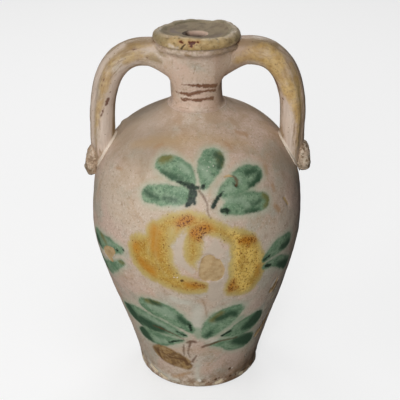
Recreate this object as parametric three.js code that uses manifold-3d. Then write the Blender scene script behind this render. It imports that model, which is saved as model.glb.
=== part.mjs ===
// Two-handled earthenware water jug, built up the way a potter builds it: a thrown belly,
// a neck luted on its shoulder, a coiled mouth ring, two pulled handles and the wads of clay
// that key their lower ends to the wall.
// Millimetres, +Z up. The origin is the centre of the foot, and the handles lie in the XZ plane.
import * as THREE from "three";
import { mergeVertices } from "three/addons/utils/BufferGeometryUtils.js";
import Module from "manifold-3d";

const wasm = await Module();
wasm.setup();

// Belly: the foot, the two curves of its outline and its wall
const footRadius = 58;
const footEdge = 4; // rounding under the foot
const footRise = 42; // how far the wall climbs steeply from the foot
const footLean = 5; // and how far it leans out meanwhile
const bellyRadius = 97.6;
const bellyHeight = 167; // the widest girth
const bellyRoundBelow = 45; // length of the girth's upright run, below and above
const bellyRoundAbove = 92;
const shoulderHeight = 275; // where the neck stands
const shoulderRun = 21; // slope of the shoulder as it reaches the neck
const shoulderFall = 18;
const bellyWall = 7.5;
const floorThickness = 11;
const floorCorner = 9; // rounding between the floor and the wall, inside

// Neck, with the collar and the dished top that the ring lies on
const neckRadius = 22.8;
const neckWall = 8;
const neckFootWidth = 4; // luted fillet round the bottom of the neck
const neckFootHeight = 5;
const neckHeight = 57.8; // from the shoulder to the seat of the ring
const collarHeight = 6;
const collarEdge = 1.5;
const collarFlare = 20; // height over which the neck opens out into the collar
const mouthRadius = 12.5; // the pouring hole
const mouthEdge = 2;
const dishRise = 5.2; // edge of the dish above the seat, inside the ring
const dishEdge = 1.2;
const dishDepth = 2; // from its edge down to the pouring hole

// Mouth ring
const ringRadius = 38;
const ringWidth = 12;
const ringHeight = 9;
const ringUndercut = 3.5; // height of the ring's widest girth above its seat
const ringOverhang = 1.5; // how far the ring stands out over the collar
const mouthTilt = 5; // degrees: the ring sits higher at the front, as thrown

// Handles
const handleThickness = 22.5; // across the strap, in the plane of the handle
const handleWidth = 28;
const rootSwell = 17.5; // added under the handle where it is luted to the neck
const rootSpread = 9; // and to its width
const rootLength = 28; // length over which both fade
const rootCurve = 1.3; // and how hollow they fade: 1 is straight
const crownSwell = 3; // added over the crown, above the leg's thickness
const fluteDepth = 1.6; // two finger grooves along the back of the strap
const handleDrop = 11; // centre of the crown below the seat of the ring
const armReach = 23; // level run of the handle out from the neck
const crownRun = 27; // how far the crown's curve keeps level, and how far it falls
const crownFall = 41;
const landingDrop = 45; // from the foot of the neck down to where the leg meets the shoulder
const legLength = 25; // straight leg above the landing
const tailLength = 32; // pressed tail below the landing
const tailLean = 0.5; // how far the tail draws in towards the axis
const tailTaper = 2; // thickness that the tail loses

// Wads of clay thumbed over the tails
const wadThickness = 15;
const wadWidth = 23;
const wadLength = 32;
const wadTaper = 0.16; // how much fuller the wad is at its lower end
const wadDrop = 10.5; // centre of the wad below the landing
const wadProud = 6.5; // how far the wad stands out from the back of the handle
const wadTilt = 8; // degrees
const thumbRadius = 12;
const thumbDepth = 2;

const jointGap = 0.3; // slip line between pieces that are luted together

// Facets round each piece, and steps along its curves
const bellyAround = 48;
const bellySteps = 22;
const insideSteps = 14;
const neckAround = 40;
const flareSteps = 6;
const ringSteps = 13;
const roundingSteps = 4;
const strapSides = 20;
const strapSteps = 30;
const wadSides = 20;
const wadRows = 14;
const sameVertex = 1e-3; // corners closer than this are one

const neckFootRadius = neckRadius + neckFootWidth;
const boreRadius = neckRadius - neckWall;
const ringSeat = shoulderHeight + neckHeight;
const ringCentre = ringRadius - ringWidth / 2;
const collarRadius = ringRadius - ringOverhang;
const collarBottom = ringSeat - collarHeight;
const flareStart = collarBottom - collarFlare;
const landingHeight = shoulderHeight - landingDrop;

// Finishes: each piece gets a material of its own from one of them
const creamGlaze = { color: 0xc9b29c, roughness: 0.42, metalness: 0 };
const ochreGlaze = { color: 0xb59a6a, roughness: 0.45, metalness: 0 };
const warmGlaze = { color: 0xbfa488, roughness: 0.45, metalness: 0 };

// Closed solids and the booleans between them
function solidOf(geometry) {
  const bare = new THREE.BufferGeometry();
  bare.setAttribute("position", geometry.getAttribute("position"));
  bare.setIndex(geometry.index);
  const merged = mergeVertices(bare, sameVertex);
  return new wasm.Manifold(
    new wasm.Mesh({
      numProp: 3,
      vertProperties: new Float32Array(merged.attributes.position.array),
      triVerts: new Uint32Array(merged.index.array),
    }),
  );
}

function geometryOf(solid) {
  const { vertProperties, triVerts } = solid.getMesh();
  const geometry = new THREE.BufferGeometry();
  geometry.setAttribute("position", new THREE.BufferAttribute(new Float32Array(vertProperties), 3));
  geometry.setIndex(new THREE.BufferAttribute(new Uint32Array(triVerts), 1));
  geometry.computeVertexNormals();
  return geometry;
}

function piece(name, geometry, finish) {
  const mesh = new THREE.Mesh(geometry, new THREE.MeshStandardMaterial(finish));
  mesh.name = name;
  return mesh;
}

// Profiles are lists of points (radius, height), and run anticlockwise round their solid
const at = (radius, height) => new THREE.Vector2(radius, height);

function turned(profile, segments) {
  return new THREE.LatheGeometry(profile, segments).rotateX(Math.PI / 2);
}

function offsetProfile(profile, distance) {
  return profile.map((point, i) => {
    const before = profile[Math.max(i - 1, 0)];
    const after = profile[Math.min(i + 1, profile.length - 1)];
    const along = after.clone().sub(before).normalize();
    return at(point.x + along.y * distance, point.y - along.x * distance);
  });
}

// Belly
const bellyCurve = new THREE.CurvePath();
bellyCurve.add(
  new THREE.CubicBezierCurve(
    at(footRadius, footEdge),
    at(footRadius + footLean, footEdge + footRise),
    at(bellyRadius, bellyHeight - bellyRoundBelow),
    at(bellyRadius, bellyHeight),
  ),
);
bellyCurve.add(
  new THREE.CubicBezierCurve(
    at(bellyRadius, bellyHeight),
    at(bellyRadius, bellyHeight + bellyRoundAbove),
    at(neckFootRadius + shoulderRun, shoulderHeight - shoulderFall),
    at(neckFootRadius, shoulderHeight),
  ),
);
const bellyOutline = bellyCurve.getSpacedPoints(bellySteps);

function bellyRadiusAt(height) {
  const above = bellyOutline.findIndex((point) => point.y >= height);
  const [low, high] = [bellyOutline[above - 1], bellyOutline[above]];
  return THREE.MathUtils.mapLinear(height, low.y, high.y, low.x, high.x);
}

const footRounding = new THREE.EllipseCurve(
  footRadius - footEdge,
  footEdge,
  footEdge,
  footEdge,
  -Math.PI / 2,
  0,
);
const bellyProfile = [...footRounding.getPoints(roundingSteps), ...bellyOutline.slice(1)];

function makeBelly() {
  const floorTop = floorThickness + floorCorner;
  const inside = offsetProfile(bellyCurve.getSpacedPoints(insideSteps), -bellyWall);
  const wallInside = inside.filter((point) => point.y > floorTop && point.x > boreRadius).reverse();
  const throat = at(boreRadius, wallInside[0].y);
  const foot = wallInside[wallInside.length - 1];
  const corner = new THREE.QuadraticBezierCurve(
    foot,
    at(foot.x - footLean / 2, floorThickness),
    at(foot.x - floorCorner - footLean, floorThickness),
  );
  const profile = [
    at(0, 0),
    ...bellyProfile,
    at(boreRadius, shoulderHeight),
    throat,
    ...wallInside,
    ...corner.getPoints(roundingSteps).slice(1),
    at(0, floorThickness),
  ];
  return turned(profile, bellyAround);
}

// Neck and ring lean together: the higher a point lies on the neck, the more it is sheared
const lean = Math.tan(THREE.MathUtils.degToRad(mouthTilt));

function tilted(geometry) {
  const position = geometry.getAttribute("position");
  for (let i = 0; i < position.count; i++) {
    const height = position.getZ(i);
    const share = THREE.MathUtils.smoothstep(height, shoulderHeight + neckFootHeight, collarBottom);
    position.setZ(i, height - position.getY(i) * lean * share);
  }
  return geometry;
}

const neckOutline = [
  ...new THREE.QuadraticBezierCurve(
    at(neckFootRadius, shoulderHeight),
    at(neckRadius, shoulderHeight),
    at(neckRadius, shoulderHeight + neckFootHeight),
  ).getPoints(roundingSteps),
  ...new THREE.CubicBezierCurve(
    at(neckRadius, flareStart),
    at(neckRadius, flareStart + collarFlare / 2),
    at(collarRadius - collarFlare / 2, collarBottom - collarEdge),
    at(collarRadius - collarEdge, collarBottom),
  ).getPoints(flareSteps),
  at(collarRadius, collarBottom + collarEdge),
  at(collarRadius, ringSeat - collarEdge),
  at(collarRadius - collarEdge, ringSeat),
];

function makeNeck() {
  const dishRadius = ringRadius - ringWidth - jointGap;
  const dishTop = ringSeat + dishRise;
  const dishFloor = dishTop - dishDepth;
  const profile = [
    ...neckOutline,
    at(dishRadius, ringSeat),
    at(dishRadius, dishTop - dishEdge),
    at(dishRadius - dishEdge, dishTop),
    at(mouthRadius + mouthEdge, dishFloor),
    at(mouthRadius, dishFloor - mouthEdge),
    at(mouthRadius, collarBottom - mouthEdge),
    at(boreRadius, flareStart),
    at(boreRadius, shoulderHeight),
    at(neckFootRadius, shoulderHeight),
  ];
  return tilted(turned(profile, neckAround));
}

// The ring's section is an ellipse cut flat by its seat
const ringCrown = ringHeight - ringUndercut;
const seatAngle = Math.asin(ringUndercut / ringCrown);
const ringOutline = new THREE.EllipseCurve(
  ringCentre,
  ringSeat + jointGap + ringUndercut,
  ringWidth / 2,
  ringCrown,
  -seatAngle,
  Math.PI + seatAngle,
).getPoints(ringSteps);

function makeRing() {
  return tilted(turned([...ringOutline, ringOutline[0]], neckAround));
}

// What the handles are luted to, grown by the slip line, with every hollow filled
function grown(outline, segments) {
  const skin = offsetProfile(outline, jointGap);
  const bottom = at(0, skin[0].y);
  const top = at(0, skin[skin.length - 1].y);
  return turned([bottom, ...skin, top], segments);
}

const ringFront = ringOutline.filter((point) => point.x >= ringCentre);
const bellyBlock = solidOf(grown(bellyProfile, bellyAround));
const mouthBlock = solidOf(tilted(grown([...neckOutline, ...ringFront], neckAround)));

// Handles: a strap with two finger grooves, swept along the crown and down the leg
const legReach = bellyRadiusAt(landingHeight);
const crownHeight = ringSeat - handleDrop;
const legTop = landingHeight + legLength;
const inPlane = (x, z) => new THREE.Vector3(x, 0, z);

function handlePath() {
  const root = inPlane(boreRadius, crownHeight);
  const crownStart = inPlane(neckRadius + armReach, crownHeight);
  const legStart = inPlane(legReach, legTop);
  const landing = inPlane(legReach, landingHeight);
  const tail = inPlane(legReach - tailLean, landingHeight - tailLength);
  const path = new THREE.CurvePath();
  path.add(new THREE.LineCurve3(root, crownStart));
  path.add(
    new THREE.CubicBezierCurve3(
      crownStart,
      inPlane(crownStart.x + crownRun, crownHeight),
      inPlane(legReach, legTop + crownFall),
      legStart,
    ),
  );
  path.add(new THREE.LineCurve3(legStart, landing));
  path.add(new THREE.LineCurve3(landing, tail));
  return path;
}

// One section of the strap: points round the centre, along the plane's normal and across it
function strapSection(halfThickness, halfWidth, grow) {
  const section = [];
  for (let i = 0; i < strapSides; i++) {
    const angle = (i / strapSides) * 2 * Math.PI;
    const groove = Math.cos(angle) > 0 ? fluteDepth * Math.sin(2 * angle) ** 2 : 0;
    section.push(
      at(
        (halfThickness - groove + grow) * Math.cos(angle),
        (halfWidth - groove + grow) * Math.sin(angle),
      ),
    );
  }
  return section;
}

function strap(grow) {
  const path = handlePath();
  const length = path.getLength();
  const tailShare = tailLength / length;
  const crownShare = (length - tailLength - legLength) / length;
  const across = new THREE.Vector3(0, 1, 0);
  const rings = [];
  for (let i = 0; i <= strapSteps; i++) {
    const share = i / strapSteps;
    const outward = across.clone().cross(path.getTangentAt(share)).negate();
    const flare = Math.max(0, 1 - (share * length) / rootLength) ** rootCurve;
    const centre = path.getPointAt(share).addScaledVector(outward, (-rootSwell * flare) / 2);
    const crown = crownSwell * (1 - THREE.MathUtils.smoothstep(share, 0, crownShare));
    const tail = tailTaper * THREE.MathUtils.smoothstep(share, 1 - tailShare, 1);
    const halfThickness = (handleThickness + rootSwell * flare + crown - tail) / 2;
    const halfWidth = (handleWidth + rootSpread * flare - tail) / 2;
    const place = (p) => centre.clone().addScaledVector(outward, p.x).addScaledVector(across, p.y);
    rings.push(strapSection(halfThickness, halfWidth, grow).map(place));
  }
  return loft(rings);
}

// Skin over rings of points, closed by a fan at each end
function loft(rings) {
  const sides = rings[0].length;
  const middle = (ring) => ring.reduce((sum, p) => sum.add(p), new THREE.Vector3()).divideScalar(sides);
  const last = rings.length - 1;
  const points = [...rings.flat(), middle(rings[0]), middle(rings[last])];
  const [startPole, endPole] = [points.length - 2, points.length - 1];
  const index = [];
  for (let k = 0; k < sides; k++) {
    const next = (k + 1) % sides;
    for (let i = 0; i < last; i++) {
      const [a, b] = [i * sides + k, i * sides + next];
      index.push(a, a + sides, b, b, a + sides, b + sides);
    }
    index.push(startPole, k, next, endPole, last * sides + next, last * sides + k);
  }
  const geometry = new THREE.BufferGeometry().setFromPoints(points);
  geometry.setIndex(index);
  return geometry;
}

function makeHandle(turn) {
  return geometryOf(solidOf(strap(0).rotateZ(turn)).subtract(bellyBlock).subtract(mouthBlock));
}

// Wad: a lump pressed over the handle's tail, fuller below and hollowed by the thumb
function makeWad(turn) {
  const backOfHandle = legReach + handleThickness / 2;
  const centre = inPlane(backOfHandle + wadProud - wadThickness / 2, landingHeight - wadDrop);
  const lump = new THREE.SphereGeometry(1, wadSides, wadRows).rotateX(Math.PI / 2);
  const position = lump.getAttribute("position");
  for (let i = 0; i < position.count; i++) {
    const fullness = 1 - wadTaper * position.getZ(i);
    position.setX(i, position.getX(i) * fullness);
    position.setY(i, position.getY(i) * fullness);
  }
  lump
    .scale(wadThickness / 2, wadWidth / 2, wadLength / 2)
    .rotateY(THREE.MathUtils.degToRad(-wadTilt))
    .translate(centre.x, centre.y, centre.z);
  const thumb = new THREE.SphereGeometry(thumbRadius, wadSides, wadRows).translate(
    backOfHandle + wadProud + thumbRadius - thumbDepth,
    centre.y,
    centre.z,
  );
  const pressed = solidOf(lump.rotateZ(turn)).subtract(solidOf(thumb.rotateZ(turn)));
  return geometryOf(pressed.subtract(solidOf(strap(jointGap).rotateZ(turn))).subtract(bellyBlock));
}

// Both sides are drawn on +X, and the left one is turned round the axis before it is luted on
function side(name, turn) {
  const group = new THREE.Group();
  group.add(piece(`${name}_handle`, makeHandle(turn), ochreGlaze));
  group.add(piece(`${name}_handle_wad`, makeWad(turn), warmGlaze));
  return group;
}

const jug = new THREE.Group();
jug.add(piece("belly", makeBelly(), creamGlaze));
jug.add(piece("neck", makeNeck(), creamGlaze));
jug.add(piece("mouth_ring", makeRing(), ochreGlaze));
jug.add(side("right", 0));
jug.add(side("left", Math.PI));

export default jug;
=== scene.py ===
# Two-handled earthenware water jug: a thrown and painted belly, a luted neck, a coiled mouth ring,
# two pulled handles and the wads of clay thumbed over their lower ends
import math

import bmesh
import bpy
import numpy as np
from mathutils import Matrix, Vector, noise


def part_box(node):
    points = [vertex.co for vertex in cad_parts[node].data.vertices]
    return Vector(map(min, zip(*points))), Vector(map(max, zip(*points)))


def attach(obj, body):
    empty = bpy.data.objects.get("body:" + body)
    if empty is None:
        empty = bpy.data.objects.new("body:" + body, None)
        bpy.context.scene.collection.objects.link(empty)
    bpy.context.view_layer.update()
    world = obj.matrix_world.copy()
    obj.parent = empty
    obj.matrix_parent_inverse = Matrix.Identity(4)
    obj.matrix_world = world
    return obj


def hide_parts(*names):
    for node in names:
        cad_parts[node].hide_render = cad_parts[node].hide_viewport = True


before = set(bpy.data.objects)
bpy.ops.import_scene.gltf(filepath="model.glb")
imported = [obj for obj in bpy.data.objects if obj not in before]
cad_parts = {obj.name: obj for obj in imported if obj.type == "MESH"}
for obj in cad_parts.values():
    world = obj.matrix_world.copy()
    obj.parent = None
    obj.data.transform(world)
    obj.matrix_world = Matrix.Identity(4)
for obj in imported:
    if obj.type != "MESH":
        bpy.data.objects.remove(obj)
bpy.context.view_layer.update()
print("frame loaded:", ", ".join(sorted(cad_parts)))

mm = 0.001  # every size below is in millimetres, and every mesh in metres


# Small tools for curves, meshes and fields

def smooth(value, low, high):
    share = np.clip((value - low) / (high - low), 0, 1)
    return share * share * (3 - 2 * share)


def bezier(start, pull, push, end, count=60):
    t = np.linspace(0, 1, count)[:, None]
    corners = [np.array(p, float) for p in (start, pull, push, end)]
    weights = ((1 - t) ** 3, 3 * (1 - t) ** 2 * t, 3 * (1 - t) * t * t, t ** 3)
    return sum(weight * corner for weight, corner in zip(weights, corners))


def evenly(curve, count):  # the same curve, with points at equal steps along it
    curve = np.array(curve, float)
    reach = np.concatenate([[0], np.cumsum(np.linalg.norm(np.diff(curve, axis=0), axis=1))])
    steps = np.linspace(0, reach[-1], count)
    return np.stack([np.interp(steps, reach, column) for column in curve.T], axis=1)


def through(points, perSpan=8):  # a smooth curve through a few points
    points = np.array(points, float)
    ends = np.vstack([2 * points[0] - points[1], points, 2 * points[-1] - points[-2]])
    t = np.linspace(0, 1, perSpan, endpoint=False)[:, None]
    spans = []
    for a, b, c, d in zip(ends, ends[1:], ends[2:], ends[3:]):
        spans.append(b + 0.5 * t * (c - a + t * (2 * a - 5 * b + 4 * c - d + t * (3 * (b - c) + d - a))))
    return np.vstack(spans + [points[-1:]])


def lumps(points, size, offset=0.0):  # gentle noise from -1 to 1, with features about size mm across
    shift = Vector((offset, 0.37 * offset, -0.61 * offset))
    return np.array([noise.noise(Vector(p) / size + shift) for p in points])


def meshPoints(mesh):
    flat = np.empty(len(mesh.vertices) * 3)
    mesh.vertices.foreach_get("co", flat)
    return flat.reshape(-1, 3) / mm


def movePoints(mesh, points):
    mesh.vertices.foreach_set("co", (points * mm).astype(np.float32).ravel())
    mesh.update()


def keepField(mesh, name, values):
    mesh.attributes.new(name, "FLOAT", "POINT").data.foreach_set("value", values.astype(np.float32))


def newPiece(name, bm):
    bmesh.ops.recalc_face_normals(bm, faces=bm.faces[:])
    mesh = bpy.data.meshes.new(name)
    bm.to_mesh(mesh)
    bm.free()
    mesh.shade_smooth()
    piece = bpy.data.objects.new(name, mesh)
    bpy.context.scene.collection.objects.link(piece)
    return piece


def standFor(piece, node, material):
    piece.data.materials.append(material)
    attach(piece, "root")
    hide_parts(node)
    print("made", piece.name, "with", len(piece.data.polygons), "faces")


def throwOnWheel(name, outline, around, closed=False):
    bm = bmesh.new()
    verts = [bm.verts.new((0, r * mm, z * mm)) for r, z in outline]
    edges = [bm.edges.new(pair) for pair in zip(verts, verts[1:])]
    if closed:
        edges.append(bm.edges.new((verts[-1], verts[0])))
    bmesh.ops.spin(
        bm, geom=verts + edges, cent=(0, 0, 0), axis=(0, 0, 1), angle=math.tau, steps=around, use_merge=True
    )
    bmesh.ops.remove_doubles(bm, verts=bm.verts[:], dist=1e-6)
    return newPiece(name, bm)


def polar(points):  # degrees from the front, to the right, with the distance from the axis
    return np.degrees(np.arctan2(points[:, 0], -points[:, 1])), np.hypot(points[:, 0], points[:, 1])


def gatherFront(points, gather):  # finer mesh on the painted side
    around, radius = polar(points)
    angle = np.radians(around)
    angle = angle - gather * np.sin(angle)
    return np.stack([radius * np.sin(angle), -radius * np.cos(angle), points[:, 2]], axis=1)


# Shape of the belly, neck and mouth, in radius and height

bellySize = {
    "foot": 58, "footEdge": 4, "footRise": 42, "footLean": 5,
    "girth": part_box("belly")[1].x / mm, "girthHeight": 167, "roundBelow": 45, "roundAbove": 92,
    "shoulder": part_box("belly")[1].z / mm, "shoulderRun": 21, "shoulderFall": 18,
    "wall": 7.5, "floor": 11, "floorCorner": 9,
    "around": 320, "rows": 250, "insideRows": 30, "gather": 0.5,
}
neckSize = {
    "radius": 22.8, "wall": 8, "footWidth": 4, "footHeight": 5, "height": 57.8,
    "collar": 36.5, "collarHeight": 6, "collarEdge": 2.8, "flare": 20,
    "mouth": 8.8, "mouthEdge": 2.0, "dishRise": 8.3, "dishDepth": 2.6, "rimInset": 2.2, "tilt": 5,
    "around": 200, "rows": 230,
}
handleSize = {
    "thickness": 22.5, "width": 28, "rootSpread": 17, "rootLength": 28, "rootCurve": 1.3,
    "crownSwell": 3, "drop": 11, "armReach": 23, "crownRun": 27, "crownFall": 41, "landingDrop": 45,
    "leg": 25, "tail": 32, "tailLean": 3, "tailTaper": 4, "flute": 1.4, "fluteAt": 44, "fluteWide": 17,
    "sides": 72, "rows": 190, "sunk": 0.9, "fillet": 1.6, "girth": 70, "bend": 0.55, "grit": 0.2,
}
handleHands = {
    "left": {
        "side": -1, "rise": 0.3, "out": 0.0, "root": 17.5, "fluteFrom": 35,
        "ochre": 0.7, "light": 0.97, "patchy": 0.8, "seed": 1.1,
    },
    "right": {
        "side": 1, "rise": 1.8, "out": 1.2, "root": 14.0, "fluteFrom": 75,
        "ochre": 0.85, "light": 1.05, "patchy": 0.45, "seed": 2.3,
    },
}
ringSize = {
    "radius": 38, "width": 12, "height": 9, "undercut": 3.5, "slip": 0.3,
    "around": 260, "rows": 64,
}
neckFoot = neckSize["radius"] + neckSize["footWidth"]
bore = neckSize["radius"] - neckSize["wall"]
ringSeat = bellySize["shoulder"] + neckSize["height"]
collarBottom = ringSeat - neckSize["collarHeight"]
ringMiddle = ringSize["radius"] - ringSize["width"] / 2
ringCrown = ringSize["height"] - ringSize["undercut"]
ringGirth = ringSeat + ringSize["slip"] + ringSize["undercut"]


def bellyCurve():
    s = bellySize
    low = bezier(
        (s["foot"], s["footEdge"]), (s["foot"] + s["footLean"], s["footEdge"] + s["footRise"]),
        (s["girth"], s["girthHeight"] - s["roundBelow"]), (s["girth"], s["girthHeight"]),
    )
    high = bezier(
        (s["girth"], s["girthHeight"]), (s["girth"], s["girthHeight"] + s["roundAbove"]),
        (neckFoot + s["shoulderRun"], s["shoulder"] - s["shoulderFall"]), (neckFoot, s["shoulder"]),
    )
    return np.vstack([low, high[1:]])


bellyWall = bellyCurve()


def bellyRadius(height):
    return np.interp(height, bellyWall[:, 1], bellyWall[:, 0])


def neckCurve():
    s = neckSize
    r, base, edge = s["radius"], bellySize["shoulder"], s["collarEdge"]
    flareStart = collarBottom - s["flare"]
    foot = bezier((neckFoot, base), (r + 1, base + 0.5), (r, base + 2), (r, base + s["footHeight"]), 14)
    flare = bezier(
        (r, flareStart), (r, flareStart + s["flare"] / 2),
        (s["collar"] - 0.45 * s["flare"], collarBottom - 1.4 * edge), (s["collar"] - edge, collarBottom), 40,
    )
    low = bezier((s["collar"] - edge, collarBottom), (s["collar"] - edge / 2, collarBottom),
                 (s["collar"], collarBottom + edge / 2), (s["collar"], collarBottom + edge), 8)
    high = bezier((s["collar"], ringSeat - edge), (s["collar"], ringSeat - edge / 2),
                  (s["collar"] - edge / 2, ringSeat), (s["collar"] - edge, ringSeat), 8)
    return np.vstack([foot, flare, low[1:], high])


neckWall = neckCurve()


def neckShare(height):  # how much of the mouth's tilt a height takes
    return smooth(height, bellySize["shoulder"] + neckSize["footHeight"], collarBottom)


def tilted(points):
    lean = math.tan(math.radians(neckSize["tilt"]))
    moved = points.copy()
    moved[:, 2] -= points[:, 1] * lean * neckShare(points[:, 2])
    return moved


def mouthRadius(height):  # outside of the neck, collar and ring together
    ring = ringSize["width"] / 2 * np.sqrt(np.clip(1 - ((height - ringGirth) / ringCrown) ** 2, 0, 1))
    onRing = np.abs(height - ringGirth) < ringCrown
    neck = np.interp(height, neckWall[:, 1], neckWall[:, 0], left=bore, right=0)
    return np.maximum(neck, np.where(onRing & (height > ringSeat), ringMiddle + ring, 0))


# Brush strokes: a path over the surface, in degrees from the front and mm of height, with its half widths

farOff = 20.0


def brushed(points, strokes, surface):  # signed distance, in mm, of each point to the nearest stroke
    nearest = np.full(len(points), farOff)
    for path, wide in strokes:
        wide = np.broadcast_to(np.array(wide, float), len(path))
        places = [(*surface(around, height), half) for (around, height), half in zip(path, wide)]
        line = through(places) if len(places) > 1 else np.array(places * 2) + [[0, 0, 0, 0], [0.01, 0, 0, 0]]
        reach = wide.max() + farOff
        close = np.all((points > line[:, :3].min(0) - reach) & (points < line[:, :3].max(0) + reach), axis=1)
        here = points[close]
        best = np.full(len(here), farOff)
        for a, b in zip(line, line[1:]):
            span = b[:3] - a[:3]
            t = np.clip((here - a[:3]) @ span / max(span @ span, 1e-9), 0, 1)
            gap = np.linalg.norm(here - a[:3] - t[:, None] * span, axis=1)
            best = np.minimum(best, gap - (a[3] + t * (b[3] - a[3])))
        nearest[close] = np.minimum(nearest[close], best)
    return nearest


def onWall(radiusAt):  # a wheel-thrown surface, as a place for each angle and height
    def place(around, height):
        angle, radius = math.radians(around), float(radiusAt(height))
        return radius * math.sin(angle), -radius * math.cos(angle), height
    return place


def neckRadius(height):
    return np.interp(height, neckWall[:, 1], neckWall[:, 0])


onBelly, onNeck, onRing = onWall(bellyRadius), onWall(neckRadius), onWall(mouthRadius)


# Material tools

def paint(red, green, blue):  # a colour as the eye reads it, from 0 to 255
    def linear(value):
        value /= 255
        return value / 12.92 if value <= 0.04045 else ((value + 0.055) / 1.055) ** 2.4
    return linear(red), linear(green), linear(blue), 1.0


class Finish:
    def __init__(self, name):
        self.material = bpy.data.materials.new(name)
        self.material.use_nodes = True
        self.tree = self.material.node_tree
        self.shader = self.tree.nodes["Principled BSDF"]
        self.place = self.add("TexCoord").outputs["Object"]

    def feed(self, socket, value):
        if isinstance(value, bpy.types.NodeSocket):
            self.tree.links.new(value, socket)
        else:
            socket.default_value = value

    def add(self, kind, inputs=None, **settings):
        made = self.tree.nodes.new("ShaderNode" + kind)
        for key, value in settings.items():
            setattr(made, key, value)
        for key, value in (inputs or {}).items():
            self.feed(made.inputs[key], value)
        return made

    def calc(self, operation, a, b=0.0):
        return self.add("Math", {0: a, 1: b}, operation=operation).outputs[0]

    def times(self, a, b):
        return self.calc("MULTIPLY", a, b)

    def axis(self, name):
        return self.add("SeparateXYZ", {0: self.place}).outputs[name]

    def field(self, name):
        return self.add("Attribute", attribute_name=name).outputs["Fac"]

    def cloud(self, size, detail=3.0, rough=0.55, bend=0.0, place=None):
        inputs = {"Vector": place or self.place, "Scale": 1 / (size * mm), "Detail": detail}
        return self.add("TexNoise", inputs | {"Roughness": rough, "Distortion": bend}).outputs[0]

    def ramp(self, value, low, high, top=1.0):
        inputs = {"Value": value, "From Min": low, "From Max": high, "To Max": top}
        return self.add("MapRange", inputs, interpolation_type="SMOOTHSTEP").outputs[0]

    def over(self, share, under, over):
        mix = self.add("Mix", data_type="RGBA")
        for index, value in ((0, share), (6, under), (7, over)):
            self.feed(mix.inputs[index], value)
        return mix.outputs[2]

    def strokes(self, name, soft, wander, grain, full=1.0):  # where a pigment lies, with a ragged edge
        ragged = self.times(self.calc("SUBTRACT", grain, 0.5), wander)
        return self.ramp(self.calc("ADD", self.field(name), ragged), soft, -soft, full)

    def mottle(self, colour, cloud, band, tone):  # a tone over the colour, in clouds
        return self.over(self.ramp(self.cloud(*cloud), *band), colour, tone)

    def lay(self, colour, tone, *brush):  # a brushed pigment over the colour
        return self.over(self.strokes(*brush), colour, tone)

    def specks(self, size, radius, share):  # round specks in some cells
        cells = self.add("TexVoronoi", {"Vector": self.place, "Scale": 1 / (size * mm)})
        draw = self.add("SeparateColor", {0: cells.outputs["Color"]}).outputs[0]
        chosen = self.ramp(draw, 1 - share, 1.001 - share)
        return self.times(self.ramp(cells.outputs["Distance"], radius, 0.4 * radius), chosen)

    def bump(self, height, distance):
        return self.add("Bump", {"Height": height, "Distance": distance * mm, "Strength": 1.0}).outputs[0]

    def done(self, colour, roughness, normal):
        self.shader.inputs["Specular IOR Level"].default_value = 0.3
        for name, value in (("Base Color", colour), ("Roughness", roughness), ("Normal", normal)):
            self.feed(self.shader.inputs[name], value)
        return self.material


glaze = {
    "cream": paint(200, 182, 163), "pink": paint(203, 178, 161), "grey": paint(180, 173, 156),
    "warm": paint(186, 152, 118), "stain": paint(146, 118, 92), "pit": paint(92, 70, 52),
    "fleckAndGlint": paint(226, 217, 204), "clay": paint(190, 163, 122),
}


def glazeBase(finish, warmth=0.5):  # worn tin glaze, cloudy, with grime in its pores
    f = finish
    colour = f.over(f.ramp(f.cloud(46, 2), 0.40, 0.62), glaze["cream"], glaze["pink"])
    colour = f.mottle(colour, (30, 3, 0.6, 0.4), (0.47, 0.66, 0.8), glaze["grey"])
    colour = f.over(f.ramp(f.cloud(38, 4, 0.65, 0.8), 0.50, 0.74, warmth), colour, glaze["warm"])
    colour = f.mottle(colour, (9, 4, 0.65, 0.5), (0.52, 0.78, 0.5), glaze["stain"])
    colour = f.mottle(colour, (2.6, 3, 0.7), (0.50, 0.74, 0.62), glaze["stain"])
    colour = f.mottle(colour, (1.7, 2, 0.7), (0.48, 0.24, 0.62), glaze["fleckAndGlint"])
    return colour


def glazeSkin(finish, pits):
    f = finish
    height = f.calc("ADD", f.times(f.cloud(9, 4, 0.6), 0.7), f.cloud(1.6, 3, 0.6))
    height = f.calc("SUBTRACT", height, f.times(pits, 0.8))
    return f.bump(height, 0.26)


def glazed(finish, colour, pitting, strength, sheen, tone=glaze["pit"], matt=None):  # pits, gloss and skin
    f = finish
    pits = f.specks(*pitting)
    colour = f.over(f.times(pits, strength), colour, tone)
    size, spread, least = sheen
    rough = f.calc("ADD", f.ramp(f.cloud(size, 3), 0.3, 0.7, spread), least)
    if matt:
        rough = f.calc("MAXIMUM", rough, matt)
    return f.done(colour, rough, glazeSkin(f, pits))


# Belly

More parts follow.
